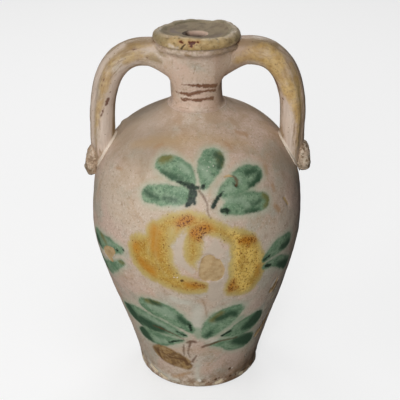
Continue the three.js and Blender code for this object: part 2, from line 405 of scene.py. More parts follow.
leaves = [
    ([(-22.6, 247), (-17.3, 245.5), (-9.7, 241.8), (-2.9, 235.6)], (8, 10, 9.6, 4)),
    ([(11.1, 251), (8.3, 246.4), (5.1, 239.5), (4.1, 233.2)], (10.5, 10.2, 6.5, 3.4)),
    ([(-27, 223.4), (-18.8, 225), (-10.8, 225.7), (-6.3, 226)], (7.8, 9.2, 8.8, 6.5)),
    ([(15, 228), (23.1, 232.1), (32, 235.7), (38.5, 235.7)], (5, 9, 10.2, 6.5)),
    ([(12.2, 226.6), (17.6, 228.8)], (2.6, 5.5)),
    ([(14.8, 214), (20.5, 216), (28.8, 215.6), (37.5, 213.2)], (4, 8, 10, 8)),
    ([(-67, 157), (-60, 158), (-51, 161), (-44, 163)], (9, 9, 7, 3.5)),
    ([(-69, 133), (-62, 130), (-54, 137), (-44, 149)], (6, 7, 6, 3)),
    ([(37.5, 156.5), (42, 161), (48, 164), (56, 164)], (2.8, 6.2, 8.4, 8)),
    ([(38.5, 149), (44, 149), (51, 145), (60, 136)], (3, 5, 7, 7)),
    ([(-32.5, 107.5), (-24.6, 106.1), (-16.2, 100.5), (-8.7, 90), (-4.5, 82)], (8.5, 12, 10.5, 7, 2.8)),
    ([(-54.3, 84), (-43.4, 84.4), (-34, 82.6), (-24.1, 81.6), (-13.6, 77.6), (-9, 75.4)],
     (9, 13.4, 12.6, 9.8, 5.4, 2.6)),
    ([(-44.3, 60.5), (-33, 61.9), (-22.2, 64), (-12.4, 67.5)], (8.5, 10, 6.5, 2.2)),
    ([(5.3, 75), (9.1, 86.1), (15.1, 96.6), (23.2, 104.5)], (4.2, 10, 12.6, 9)),
    ([(17.3, 74.5), (24.6, 76), (32.7, 78.6), (40, 80.6), (43, 83)], (2.4, 7, 11.4, 12, 8.5)),
    ([(10, 62.5), (16.9, 62.3), (28.7, 58), (39, 56)], (2.4, 5.4, 11.2, 10)),
]
whiteGlaze = [  # thick drips of glaze
    ([(1, 114), (-1, 99), (0, 85)], (4, 5.5, 3.5)),
    ([(1, 44), (-1.5, 28), (-1, 13)], (0.4, 1.4, 2)),
    ([(-6, 120), (-14, 124)], (3, 3)),
    ([(14, 66), (8, 70)], (2, 2)),
    ([(46.5, 97.2), (49.5, 87)], (0.8, 0.8)),
    ([(-56, 14), (-47, 11.3), (-38, 9.9), (-29, 8.2), (-20.7, 7.2)], (2, 3, 3.5, 3, 2)),
]
warmWash = [  # yellowed glaze round the shoulder
    ([(-54.7, 252), (-41, 256.5), (-21, 260), (-5, 261), (12.6, 261.5), (30.7, 258.5), (44, 255)],
     (3, 5, 6, 6, 5, 5, 3)),
]
leafWash = [  # thin green between the leaves
    ([(-40, 94), (-28, 92), (-15, 84)], (4, 4.5, 3)),
    ([(-42, 71), (-28, 71), (-15, 72)], (3.5, 3.5, 2.5)),
    ([(12, 77), (20, 87), (29, 93)], (3, 4, 3)),
    ([(16, 69), (26, 69.5), (37, 70)], (2.5, 3.5, 3.5)),
    ([(16, 223.4), (24.4, 224.1), (32.2, 224.8)], (3.5, 4, 3)),
    ([(-1, 84), (0, 74)], (4, 3)),
]
leafInk = [  # dark strokes where the brush was set down full
    ([(-12.1, 235.9), (-9, 235.4), (-6, 234.6), (-2.8, 232.3)], (1, 1.5, 2.3, 3.3)),
    ([(-2.8, 232.3), (0.4, 231.8)], (2.8, 1.6)),
    ([(-2.6, 231), (-2.4, 227.4), (-4, 221.2), (-5.4, 218.7)], (3.3, 3.4, 2.8, 2)),
    ([(-2.6, 224), (-1.6, 220.5)], (2.2, 1.6)),
    ([(21.8, 232.4), (23.1, 230.6)], (1.4, 1.2)),
    ([(14.3, 228.3), (12.1, 225), (9.6, 220.7), (8.4, 216.8)], (1, 1.6, 2.1, 2)),
    ([(12.6, 213.8), (14.8, 213.4), (17, 213.4)], (1.8, 2.5, 1.4)),
    ([(15, 213), (15.8, 211)], (1.8, 1.2)),
    ([(3.2, 232.8), (4.2, 234)], (1.7, 1.4)),
    ([(-5.6, 91.7), (-4.5, 83.3)], (1.3, 1.2)),
    ([(-14.3, 79.8), (-8.9, 75.4)], (1.1, 0.9)),
    ([(-22, 61.2), (-17.4, 65), (-12, 67.7)], (0.9, 1, 0.9)),
    ([(16, 73.5), (21.4, 78)], (1.1, 1.4)),
    ([(37.5, 156.5), (41, 159)], (1.4, 1.6)),
    ([(39.5, 149), (43, 147)], (1.4, 1.6)),
    ([(-47, 160.5)], 1.6),
    ([(-42, 164)], 1.2),
]
leafShade = [  # where the green pooled
    ([(-22, 241), (-16, 239), (-10, 238)], (2.2, 2.8, 2)),
    ([(-29.5, 224.5), (-26, 223), (-22, 222)], (2.2, 2.6, 1.4)),
    ([(-18, 223), (-12, 222)], (2, 2)),
    ([(14, 253), (17, 250), (14, 245)], (2.8, 3.2, 2)),
    ([(40.9, 234.9), (37, 230.1), (33, 228.5), (31.2, 229.9)], (2.6, 4.2, 3.6, 1.5)),
    ([(32, 238), (37, 238)], (3, 3)),
    ([(30.6, 213.8), (33.8, 213.4), (36, 215)], (1.2, 1.8, 1.5)),
    ([(27, 209), (33, 207)], (2.5, 2.5)),
    ([(-69, 155), (-66, 149)], (5, 4)),
    ([(-70, 129), (-64, 122)], (5, 3.5)),
    ([(51, 161), (57, 160)], (3.5, 5)),
    ([(51, 142), (60, 134)], (3.5, 6)),
    ([(-28, 114), (-23, 112)], (2.5, 2.5)),
    ([(-11, 100), (-8, 93)], (3, 3)),
    ([(-53.7, 88), (-50.5, 80), (-46, 73)], (6.5, 8, 5)),
    ([(-42, 80), (-33, 78), (-25, 78)], (6.5, 6.5, 4.5)),
    ([(-46, 64), (-44.5, 56.5), (-41, 51)], (6, 8, 6)),
    ([(12.3, 97.4), (19.9, 101.8), (24, 99)], (3.5, 4, 3)),
    ([(5.5, 75), (8, 80)], (2.5, 3)),
    ([(33, 76.5), (39, 78.5), (43, 82), (46, 85)], (3.5, 7.5, 9, 8)),
    ([(27, 61.6), (36, 58), (42, 54)], (4, 8, 7)),
]
leafOlive = [
    ([(-25, 249), (-20, 251)], (4, 3)),
    ([(17, 252), (17, 247)], (4, 3)),
    ([(39.5, 218), (42, 213), (39.5, 208)], (2.5, 3, 2.5)),
    ([(-31, 113), (-24, 115)], (3, 3)),
    ([(-46, 149), (-41, 150)], (2, 1.5)),
    ([(9, 97), (14, 105)], (3, 3)),
    ([(-62, 165), (-58, 160)], (3, 2)),
]
leafPale = [  # and where it was brushed thin
    ([(2, 246.5), (5.2, 243.7), (7, 238.4)], (2.5, 3, 2)),
    ([(16.4, 221.2), (23.4, 221), (27.9, 213.9)], (2.5, 3, 2)),
    ([(23.5, 238.5), (25.8, 233.7)], (2.2, 2)),
    ([(14.5, 228.9), (19.8, 229.9)], (1.5, 3)),
    ([(-10.2, 246.7), (-5.8, 243.7)], (3, 2.5)),
    ([(-29.8, 107.4), (-21, 106.6), (-15.6, 100.6)], (4, 6, 4)),
    ([(-36, 90), (-25.4, 85.2), (-17.1, 80.3)], (3, 3.5, 2)),
    ([(10, 92.4), (13.9, 102.6)], (2, 2.5)),
    ([(-32, 60), (-25, 61)], (4, 3)),
    ([(-60, 162), (-52, 163)], (4, 3)),
]
petals = [
    ([(-23, 195), (-25, 185), (-30.5, 172.5), (-28, 160), (-22, 149)], (6.5, 6, 13, 13, 9)),
    ([(-17.5, 198), (-18.5, 180), (-17.5, 163), (-13, 150)], (9, 10.5, 10.5, 9)),
    ([(-22, 197), (-23, 180), (-23, 162), (-17.5, 149)], (7, 8, 9, 8)),
    ([(-22, 150), (-14, 145.5), (-5, 141.5), (2, 140)], (9, 9.5, 10, 6.5)),
    ([(-22, 196), (-14, 203.5), (-6, 206), (1, 203.5), (7, 199.5), (13, 195), (19, 187)],
     (5.5, 8, 8.5, 10, 8.5, 7.5, 7.5)),
    ([(-9.5, 200), (-12, 191), (-14.5, 183)], (4.5, 3.5, 3)),
    ([(18.5, 191), (24, 180), (26.2, 168), (27, 155), (27, 143), (24.5, 133)], (7, 13, 17, 18.5, 18, 10)),
    ([(18.5, 140), (18.5, 132)], (7, 6)),
    ([(-1.5, 197), (-2, 187.4), (-2.1, 177.5), (-2.8, 168), (-0.5, 160.5)], (9.5, 8.2, 8.4, 5, 1.5)),
]
petalAmber = [
    ([(-23.5, 198), (-22.5, 190), (-22, 180), (-21, 171)], (5.5, 5.5, 4.5, 2.5)),
    ([(-35, 178.5), (-33, 172)], (4.5, 4)),
    ([(-30, 160), (-24, 152)], (4, 4)),
    ([(-9.2, 199.2), (-6.2, 205.6), (-3.2, 207.5)], (5.5, 6, 4)),
    ([(-1.1, 195.4), (1.9, 196.3), (5, 199.7)], (6, 7, 5)),
    ([(24, 183.5), (30, 181)], (3, 3)),
    ([(33.5, 153), (34.5, 143)], (2, 2)),
    ([(19.5, 141), (19, 131)], (2.5, 3.5)),
    ([(-4, 143.5), (3, 141)], (4, 3.5)),
]
petalRust = [
    ([(-8.6, 202.8), (-4.7, 207.4)], (3.4, 3.4)),
    ([(-1.1, 195.4), (1.9, 196.3), (5, 199.7)], (4, 5.5, 2.5)),
    ([(1, 195), (0.9, 190.1)], (4, 3)),
    ([(22.5, 183.1), (27, 184.1), (31.1, 181.3)], (2.5, 3, 2.5)),
    ([(27, 184), (27, 177.5)], (3, 2)),
    ([(-1.1, 143.4), (3, 141.1)], (2.5, 2.5)),
    ([(19.5, 144.1), (18.4, 134.1), (21.8, 135)], (2.5, 3, 2)),
]
petalBright = [  # the fresher yellow on the right
    ([(17, 196), (21, 186), (20, 172), (19.5, 156), (23, 143), (27, 132)], (3, 4.5, 5, 5, 7, 5)),
    ([(33, 172), (33.5, 160), (28, 148)], (4, 5, 6)),
    ([(26.5, 176), (28, 165), (26.5, 154)], (4, 5, 4)),
]
barePink = [  # glaze left open inside the flower
    ([(-5.4, 195.3), (-8.4, 186.9), (-9.6, 177), (-7.9, 167.5), (-2.5, 157)], (0.6, 2.2, 3.2, 3, 2.2)),
    ([(9, 189.8), (8.9, 183), (8.9, 178)], (0.6, 4, 5.5)),
    ([(5.4, 177), (8.9, 178), (12.6, 177)], (2.4, 3, 2.6)),
    ([(14.4, 172), (14.9, 156.9), (14.4, 146)], (1.2, 0.7, 1)),
    ([(9.3, 142), (9.9, 128)], (5, 6.5)),
]
brownLinesAndChipShadows = [
    ([(1, 229.5), (3.3, 226), (4.5, 222), (5.4, 218.5), (5.5, 213), (7, 208)],
     (0.8, 0.9, 0.8, 0.7, 0.6, 0.5)),
    ([(-31.9, 80), (-24.1, 79), (-16.2, 75), (-10.5, 70)], (0.6, 0.9, 0.8, 0.5)),
    ([(2.9, 59.4), (6.6, 62.1), (16.5, 66.5), (28.3, 66)], (1.6, 1.6, 1, 0.8)),
    ([(-10.9, 62), (-11.6, 53), (-11.6, 46.4)], (0.5, 0.9, 0.4)),
    ([(-5.5, 68), (-7.4, 56.8), (-8.2, 49.3), (-7.1, 43.6)], (1.5, 0.6, 0.8, 0.3)),
    ([(-1.8, 47), (-3.9, 41.7), (-5.5, 37.1)], (0.3, 0.7, 1.4)),
    ([(-8.4, 65.4), (-5, 67.8), (-2, 66.6)], (0.8, 1.6, 1)),
    ([(-29.2, 42), (-23, 39.8), (-16.9, 39.8), (-11.8, 39.1), (-9.6, 32.8)], (0.5, 1.1, 1.3, 1.6, 1.8)),
    ([(-34.6, 46), (-35, 38), (-32.5, 31)], (1.1, 1.4, 0.6)),
    ([(20.4, 239), (23, 237.4), (23.9, 234.2), (23, 231.6)], (0.7, 1.2, 1.6, 1.2)),
    # painted shadow edges beside the chips on the right
    ([(57.5, 117), (56.6, 112.5), (54, 107.5)], (1, 2.2, 1)),
    ([(65.5, 66), (61, 58.5), (58.6, 54), (54.5, 49)], (1, 2.4, 1.6, 1)),
]
faintLines = [
    ([(-1.3, 129.5), (2.4, 125), (4.2, 116), (5.5, 101)], (0.5, 0.7, 0.6, 0.4)),
    ([(1, 174.5), (5, 175.4), (8.2, 173.7)], (0.4, 0.5, 0.4)),
]
clayMarks = [  # thin places where the clay shows through
    ([(46.6, 237.3), (45.7, 232.9)], (2.6, 2.2)),
    ([(47.6, 222.2), (48.1, 217.6)], (1.8, 1.5)),
    ([(46.6, 204.1), (49, 199)], (2.4, 2.4)),
    ([(25.5, 258.5), (28, 255)], (1.4, 1.2)),
    ([(7.4, 233), (6.8, 227)], (1.4, 1)),
    ([(43, 262), (50, 259)], (2, 3)),
    ([(-58, 232), (-52, 234)], (1, 1.4)),
    ([(-35, 255), (-31, 257)], (1.4, 1.2)),
    ([(-24.5, 10.7), (-15, 17.2), (-8.3, 21.4)], (1.6, 2, 1.2)),
]
brownLeaf = [
    ([(-34, 42.5), (-29, 42), (-23, 40), (-16, 35.5), (-10.5, 31)], (8, 12, 12.5, 9.5, 6)),
]
chips = [  # glaze flaked off down to the clay
    ([(5.7, 168), (5.2, 160), (4.9, 154)], (6.6, 7.2, 6.8)),
    ([(8.6, 164), (9.4, 158), (9.5, 153)], (6.8, 7.6, 6.6)),
    ([(16.4, 238.4), (19.3, 238.9), (21.4, 238.2)], (0.7, 1.2, 0.8)),
    ([(-59.5, 149), (-55.5, 152), (-51, 156.5)], (4, 5.8, 3.2)),
    ([(-57, 147.5), (-54.5, 145)], (4.2, 3.6)),
    ([(54, 121), (52.5, 117), (53, 113.5), (50.6, 110)], (2.6, 5.2, 4.4, 2.8)),
    ([(57.5, 99), (56, 96)], (1.4, 1.2)),
    ([(63, 73.5), (60.5, 68), (57, 62), (55, 57.5), (51, 52)], (2.6, 5.2, 4.4, 5.2, 2.2)),
    ([(67, 44), (65, 38)], (1.8, 1.4)),
    ([(55, 206), (58, 198)], (1.5, 1.2)),
    ([(-61, 98), (-63, 108)], (0.8, 1.3)),
    ([(-51.4, 11.8), (-46, 8)], (2, 2.6)),
    ([(-38.3, 7.6), (-33, 5.5)], (2.2, 1.8)),
    ([(16, 5), (21, 6.5)], (1.4, 1.8)),
    ([(42.4, 5.9), (47, 4.4)], (2, 2)),
    ([(58.8, 3.4)], 2),
    ([(-75, 6), (-66, 4.5)], (2, 2.4)),
]
darkSpots = [
    ([place], half) for place, half in (
        ((-7.9, 147.2), 1.4), ((-10.5, 155), 0.7), ((17.2, 191.4), 0.8), ((28.3, 20.5), 1.6),
        ((-5.7, 205.2), 0.7), ((-4.4, 200.9), 0.6), ((1.4, 197.7), 0.8), ((2, 192.1), 0.9),
        ((3.9, 195.3), 0.7), ((25, 183.6), 0.7), ((28.6, 180.8), 0.8), ((26.4, 178.2), 0.7),
        ((32.4, 151.8), 0.8), ((35.6, 144), 0.6), ((22.1, 150.2), 0.7), ((17.7, 139), 0.6),
        ((19.4, 133.8), 0.7), ((19.1, 127.8), 0.6), ((29.6, 161.5), 0.6), ((25.1, 166.3), 0.5),
        ((3.5, 8.1), 0.8), ((9.2, 7.2), 0.9), ((15.7, 10.1), 1.4), ((18.8, 10.9), 1.1), ((24.1, 7.4), 0.9),
        ((30.2, 10.2), 1.5), ((37.2, 8.3), 1.3), ((41.5, 7.3), 1), ((48.5, 7.3), 1.4), ((57.2, 5.9), 1.2),
        ((45.1, 29.1), 1.8),
    )
] + [
    ([(63, 69.5), (59.5, 63.5), (56.5, 59.5), (54, 55)], (0.8, 1.3, 1.2, 0.6)),
    ([(55.4, 117), (53.6, 113), (52.4, 110)], (0.6, 1.3, 0.8)),
]
# pale specks of glaze, and painted highlights: small glints on the upper leaves and the flower
paleFlecksAndGlints = [
    ([place], half) for place, half in (
        ((-12, 150), 0.8), ((-10.3, 150.4), 0.7), ((2.5, 248.5), 0.55), ((5.2, 250.4), 0.4),
        ((4.4, 247), 0.35), ((7.6, 246), 0.6), ((10.7, 246.6), 0.55), ((3.6, 244.8), 0.5),
        ((6.3, 243.5), 0.4), ((9, 249), 0.4),
        ((8.6, 243), 0.4), ((-13, 243), 0.45), ((-11, 244.5), 0.4), ((-20.2, 100.3), 0.7), ((0, 10.5), 1.8),
        ((45.1, 29.1), 1.1), ((31.1, 20.6), 1),
    )
] + [
    # painted highlights on the broken edges of the chips on the right
    ([(53.4, 122), (51, 118.5), (50.2, 115.5)], (2.4, 2.9, 1.6)),
    ([(61, 73.5), (58, 67.5), (55.5, 64), (52.5, 60)], (2.2, 2.8, 2.4, 1.5)),
]
bellyPaint = {
    "warmWash": warmWash, "whiteGlaze": whiteGlaze, "leaf": leaves, "leafWash": leafWash, "leafInk": leafInk,
    "leafShade": leafShade, "leafOlive": leafOlive, "leafPale": leafPale, "petal": petals,
    "petalAmber": petalAmber, "petalRust": petalRust, "petalBright": petalBright, "barePink": barePink,
    "darkLine": brownLinesAndChipShadows, "faintLine": faintLines, "clayMark": clayMarks, "brownLeaf": brownLeaf,
    "chip": chips, "darkSpot": darkSpots, "paleFleckAndGlint": paleFlecksAndGlints,
}
bellyHand = {
    "ringing": 0.05, "ringPitch": 9.5, "oval": 0.7, "ovalTurn": 40, "trefoil": 0.4, "trefoilTurn": -70,
    "lump": 0.8, "grit": 0.25, "chipDepth": 0.6, "sag": 1.6, "sagAt": -90, "sagWide": 45, "lean": 1.8,
    "footWear": 0.9,
    "bump": ((-102.6, 251), 3.0, 5.5),
}


def paintedGlaze():
    f = Finish("paintedTinGlaze")
    fine, coarse = f.cloud(2.2, 4, 0.65), f.cloud(7, 3, 0.6)
    ragged = f.calc("ADD", f.times(fine, 0.55), f.times(coarse, 0.45))
    wobbly = f.calc("ADD", f.times(ragged, 0.6), f.times(f.cloud(15, 3, 0.6), 0.4))
    up, sideways = f.axis("Z"), f.axis("X")
    colour = glazeBase(f)
    grimy = f.times(f.ramp(up, 185 * mm, 262 * mm), f.ramp(f.cloud(24, 4, 0.65, 0.6), 0.34, 0.66, 0.8))
    colour = f.over(grimy, colour, paint(176, 150, 122))
    blotched = f.times(f.ramp(up, 190 * mm, 255 * mm), f.ramp(f.cloud(13, 4, 0.6, 0.4), 0.46, 0.76, 0.35))
    colour = f.over(blotched, colour, paint(164, 134, 98))
    worn = f.times(f.ramp(up, 30 * mm, 2 * mm), f.ramp(f.cloud(6, 4, 0.7), 0.40, 0.58, 0.85))
    colour = f.over(worn, colour, paint(138, 104, 72))
    greyed = f.times(f.ramp(up, 228 * mm, 256 * mm), f.ramp(sideways, -10 * mm, -44 * mm, 0.6))
    colour = f.over(greyed, colour, paint(156, 140, 122))
    # painted shade low on the right side of the belly, in cloudy patches that also read as dirt
    lowClouds = f.times(f.ramp(up, 44 * mm, 4 * mm), f.ramp(f.cloud(8, 4), 0.1, 0.55, 0.9))
    rightFootShadeAndDirt = f.times(f.ramp(sideways, 0, 50 * mm), lowClouds)
    colour = f.over(rightFootShadeAndDirt, colour, paint(108, 82, 56))
    scuffed = f.times(f.ramp(up, 16 * mm, 1 * mm), f.ramp(f.cloud(9, 4, 0.7, 0.4), 0.50, 0.60, 0.8))
    colour = f.over(scuffed, colour, paint(206, 188, 164))
    colour = f.lay(colour, paint(184, 150, 102), "warmWash", 8, 14, ragged, 0.45)
    colour = f.lay(colour, paint(172, 134, 96), "clayMark", 2.2, 8, ragged, 0.72)
    halo = f.ramp(f.calc("ADD", f.field("leaf"), f.times(coarse, 6)), 11, 1.0, 0.75)
    colour = f.over(halo, colour, paint(178, 184, 162))
    colour = f.lay(colour, paint(204, 201, 186), "whiteGlaze", 4, 8, ragged, 0.72)
    colour = f.lay(colour, paint(152, 168, 142), "leafWash", 3, 6, ragged, 0.85)

    petal = f.strokes("petal", 2.6, 15, wobbly)
    fringe = f.ramp(f.calc("ADD", f.field("petal"), f.times(coarse, 6)), -6, 2.5)
    yellow = f.over(f.ramp(coarse, 0.36, 0.62), paint(190, 158, 82), paint(178, 142, 62))
    yellow = f.mottle(yellow, (11, 4, 0.7, 0.5), (0.46, 0.64, 0.55), paint(166, 122, 48))
    yellow = f.lay(yellow, paint(236, 200, 108), "petalBright", 4, 8, ragged, 0.85)
    yellow = f.mottle(yellow, (3.0, 3, 0.6), (0.48, 0.68, 0.7), paint(164, 120, 46))
    yellow = f.mottle(yellow, (1.5, 2, 0.6), (0.53, 0.68, 0.75), paint(140, 92, 30))
    yellow = f.mottle(yellow, (1.6, 2, 0.6), (0.47, 0.30, 0.55), paint(218, 192, 122))
    yellow = f.lay(yellow, paint(184, 124, 38), "petalAmber", 4.5, 10, ragged, 0.8)
    yellow = f.over(f.times(fringe, 0.75), yellow, paint(188, 170, 112))
    grit = f.ramp(f.cloud(1.3, 2, 0.5), 0.52, 0.58)
    rust = f.times(f.strokes("petalRust", 2.8, 7, ragged), grit)
    yellow = f.lay(yellow, paint(176, 108, 28), "petalRust", 2.8, 7, ragged, 0.5)
    yellow = f.over(rust, yellow, paint(100, 50, 6))
    yellow = f.over(f.specks(4.0, 0.19, 0.4), yellow, paint(102, 64, 22))
    grains = f.times(f.strokes("petalBright", 5, 8, ragged), f.specks(3.8, 0.26, 0.5))
    yellow = f.over(f.times(grains, 0.75), yellow, paint(112, 66, 20))
    colour = f.over(petal, colour, yellow)
    colour = f.lay(colour, paint(194, 178, 160), "barePink", 1.4, 4, ragged, 0.9)

    leaf = f.strokes("leaf", 1.7, 10, wobbly)
    green = f.over(f.ramp(f.cloud(12, 4, 0.65, 0.6), 0.38, 0.64), paint(134, 158, 128), paint(102, 132, 102))
    green = f.mottle(green, (2.6, 3, 0.65), (0.46, 0.70, 0.74), paint(70, 100, 74))
    green = f.mottle(green, (1.7, 2, 0.6), (0.47, 0.27, 0.62), paint(158, 178, 152))
    green = f.lay(green, paint(152, 170, 146), "leafPale", 3, 6, ragged, 0.6)
    rim = f.times(f.ramp(f.field("leaf"), -4.0, -0.6), f.ramp(f.cloud(14, 2), 0.46, 0.60))
    green = f.over(f.times(rim, 0.55), green, paint(80, 112, 82))
    green = f.lay(green, paint(116, 110, 58), "leafOlive", 3, 6, ragged, 0.85)
    green = f.lay(green, paint(46, 74, 52), "leafShade", 3.2, 7, ragged, 0.9)
    colour = f.over(leaf, colour, green)
    ink = f.over(f.ramp(f.cloud(3.2, 3, 0.6), 0.46, 0.64, 0.5), paint(26, 42, 30), paint(74, 98, 72))
    colour = f.over(f.strokes("leafInk", 1.1, 6, ragged), colour, ink)

    brown = f.strokes("brownLeaf", 1.6, 9, wobbly, 0.92)
    leafBrown = f.over(f.ramp(coarse, 0.4, 0.6), paint(156, 124, 76), paint(112, 80, 40))
    leafBrown = f.mottle(leafBrown, (2.2, 3), (0.5, 0.7, 0.6), paint(96, 68, 34))
    leafBrown = f.mottle(leafBrown, (5, 3), (0.5, 0.66, 0.6), paint(176, 148, 108))
    colour = f.over(brown, colour, leafBrown)
    colour = f.lay(colour, paint(140, 100, 66), "faintLine", 1.2, 3, ragged, 0.5)
    # brown brush lines, with painted shadow edges beside the chips
    colour = f.lay(colour, paint(98, 67, 44), "darkLine", 1.1, 3.8, ragged, 0.78)
    chip = f.strokes("chip", 0.5, 3.0, ragged)
    clay = f.over(f.ramp(f.cloud(4, 4, 0.6), 0.38, 0.66), glaze["clay"], paint(172, 142, 100))
    clay = f.mottle(clay, (2, 3), (0.55, 0.75, 0.5), paint(206, 180, 140))
    clay = f.over(f.ramp(up, 22 * mm, 12 * mm), clay, paint(202, 186, 158))
    colour = f.over(chip, colour, clay)
    colour = f.lay(colour, paint(80, 56, 28), "darkSpot", 0.5, 2, ragged, 0.9)
    # pale specks and painted glints
    colour = f.lay(colour, glaze["fleckAndGlint"], "paleFleckAndGlint", 0.4, 1.2, ragged, 0.9)
    return glazed(f, colour, (8, 0.08, 0.35), 0.6, (12, 0.16, 0.40), matt=f.times(chip, 0.8))


def makeBelly():
    s, h = bellySize, bellyHand
    edge = s["footEdge"]
    turn = np.linspace(-math.pi / 2, 0, 10)
    foot = np.stack([s["foot"] - edge + edge * np.cos(turn), edge + edge * np.sin(turn)], axis=1)
    outside = evenly(np.vstack([foot, bellyWall[1:]]), s["rows"])
    along = np.gradient(bellyWall, axis=0)
    along /= np.linalg.norm(along, axis=1)[:, None]
    inside = bellyWall + s["wall"] * np.stack([-along[:, 1], along[:, 0]], axis=1)
    inside = inside[(inside[:, 1] > s["floor"] + s["floorCorner"]) & (inside[:, 0] > bore)][::-1]
    low = inside[-1]
    corner = bezier(low, (low[0] - 2, s["floor"]), (low[0] - 6, s["floor"]), (low[0] - 16, s["floor"]), 8)
    inside = evenly(np.vstack([[(bore, inside[0, 1])], inside, corner]), s["insideRows"])
    base = np.linspace(0, s["foot"] - edge, 10)[:-1]
    floor = np.linspace(low[0] - 16, 0, 6)[1:]
    outline = np.vstack([
        np.stack([base, 0 * base], axis=1), outside, [(bore, s["shoulder"])], inside,
        np.stack([floor, 0 * floor + s["floor"]], axis=1),
    ])
    piece = throwOnWheel("paintedBelly", outline, s["around"])
    points = gatherFront(meshPoints(piece.data), s["gather"])
    around, radius = polar(points)
    height = points[:, 2]
    outer = (radius > bellyRadius(height) - s["wall"] / 2) & (height > 0.01)
    for name, strokes in bellyPaint.items():
        keepField(piece.data, name, np.where(outer, brushed(points, strokes, onBelly), farOff))
    chip = np.where(outer, brushed(points, chips, onBelly), farOff)

    swell = h["ringing"] * np.sin(math.tau * (height + 2 * lumps(points, 60)) / h["ringPitch"])
    oval = h["oval"] * np.cos(np.radians(2 * around + h["ovalTurn"]))
    swell += oval + h["trefoil"] * np.cos(np.radians(3 * around + h["trefoilTurn"]))
    swell += h["lump"] * lumps(points, 42, 3.1) + h["grit"] * lumps(points, 11, 7.7)
    place, proud, spread = h["bump"]
    swell += proud * np.exp(-(np.linalg.norm(points - onBelly(*place), axis=1) / spread) ** 2)
    swell -= h["chipDepth"] * smooth(-chip, -0.5, 0.6) * (1 + 0.4 * lumps(points, 3, 1.9))
    firm = smooth(height, 0, 12) * smooth(-height, -s["shoulder"], -s["shoulder"] + 14)
    swell *= np.where(outer, firm, 0)
    rough = smooth(height, 0.5, 3) * smooth(-height, -20, -7) * outer
    worn = h["footWear"] * lumps(points, 9, 5.5) + 0.5 * lumps(points, 3.5, 2.9)
    swell += rough * (worn - h["footWear"] * smooth(-chip, -0.8, 0.8))
    outward = points[:, :2] / np.maximum(radius, 1e-6)[:, None]
    points[:, :2] += outward * swell[:, None]
    droop = np.exp(-(((around - h["sagAt"]) / h["sagWide"]) ** 2))
    droop *= smooth(height, 215, 245) * smooth(-height, -272, -255)
    points[:, 2] -= np.where(outer, h["sag"] * droop, 0)
    points[:, 0] += h["lean"] * smooth(-height, -150, -20)
    movePoints(piece.data, points)
    standFor(piece, "belly", paintedGlaze())


makeBelly()

# Shape of the handles, and the bands of glaze, painted shade and painted highlights along them

landing = bellySize["shoulder"] - handleSize["landingDrop"]


def handlePath(hand):
    s = handleSize
    crown = ringSeat - s["drop"] + hand["rise"]
    start = neckSize["radius"] + s["armReach"]
    reach = float(bellyRadius(landing))
    leg = landing + s["leg"]
    arm = [(0, crown - hand["rise"]), (bore, crown - hand["rise"]), (start, crown)]
    bend = bezier((start, crown), (start + s["crownRun"] + hand["out"], crown),
                  (reach + hand["out"], leg + s["crownFall"]), (reach + 0.5 * hand["out"], leg), 120)
    foot = (reach - s["tailLean"], landing - s["tail"])
    tail = through([(reach + 0.5 * hand["out"], leg), (reach, landing), foot])
    return evenly(np.vstack([arm, bend[1:], tail[1:]]), 600)


def clearance(points):  # distance outside the neck and mouth, and outside the belly
    lean = math.tan(math.radians(neckSize["tilt"]))
    radius, height = polar(points)[1], points[:, 2]
    level = height + points[:, 1] * lean * neckShare(height)
    slope = (mouthRadius(level + 0.5) - mouthRadius(level - 0.5))
    mouth = (radius - mouthRadius(level)) / np.sqrt(1 + np.clip(slope, -1.5, 1.5) ** 2)
    lean = bellyRadius(height + 0.5) - bellyRadius(height - 0.5)
    wall = (radius - bellyRadius(height)) / np.sqrt(1 + lean ** 2)
    return mouth, np.where(height > bellySize["shoulder"], farOff, wall)


def fluting(angle):  # two grooves down the back of the strap
    s = handleSize
    places = (-s["fluteAt"], s["fluteAt"])
    return sum(np.exp(-((np.degrees(angle) - mid) / s["fluteWide"]) ** 2) for mid in places)


def strapPoint(hand, path, along, angle):  # a point of the strap, with the direction out from its middle
    s = handleSize
    step = np.linspace(0, 1, len(path))
    length = np.linalg.norm(np.diff(path, axis=0), axis=1).sum()
    heading = np.gradient(path, axis=0)
    heading /= np.linalg.norm(heading, axis=1)[:, None]
    pick = lambda column: np.interp(along, step, column)
    back = np.stack([-pick(heading[:, 1]), pick(heading[:, 0])], axis=1)
    swell = hand["root"] * np.clip(1 - (along * length - bore) / s["rootLength"], 0, 1) ** s["rootCurve"]
    crown = s["crownSwell"] * (1 - smooth(along, 0, 1 - (s["tail"] + s["leg"]) / length))
    taper = s["tailTaper"] * smooth(along, 1 - s["tail"] / length, 1)
    half = (s["thickness"] + swell + crown - taper) / 2
    wide = (s["width"] + s["rootSpread"] * swell / hand["root"] - taper) / 2
    groove = s["flute"] * fluting(angle) * smooth(along * length, hand["fluteFrom"], hand["fluteFrom"] + 30)
    middle = np.stack([pick(path[:, 0]), pick(path[:, 1])], axis=1) - back * (swell / 2)[:, None]
    thick = (half - groove) * np.cos(angle)
    plane = middle + back * thick[:, None]
    point = np.stack([plane[:, 0], (wide - groove) * np.sin(angle), plane[:, 1]], axis=1)
    level = back * np.cos(angle)
    out = np.stack([level[:, 0], np.sin(angle) + 0 * along, level[:, 1]], axis=1)
    return point, out


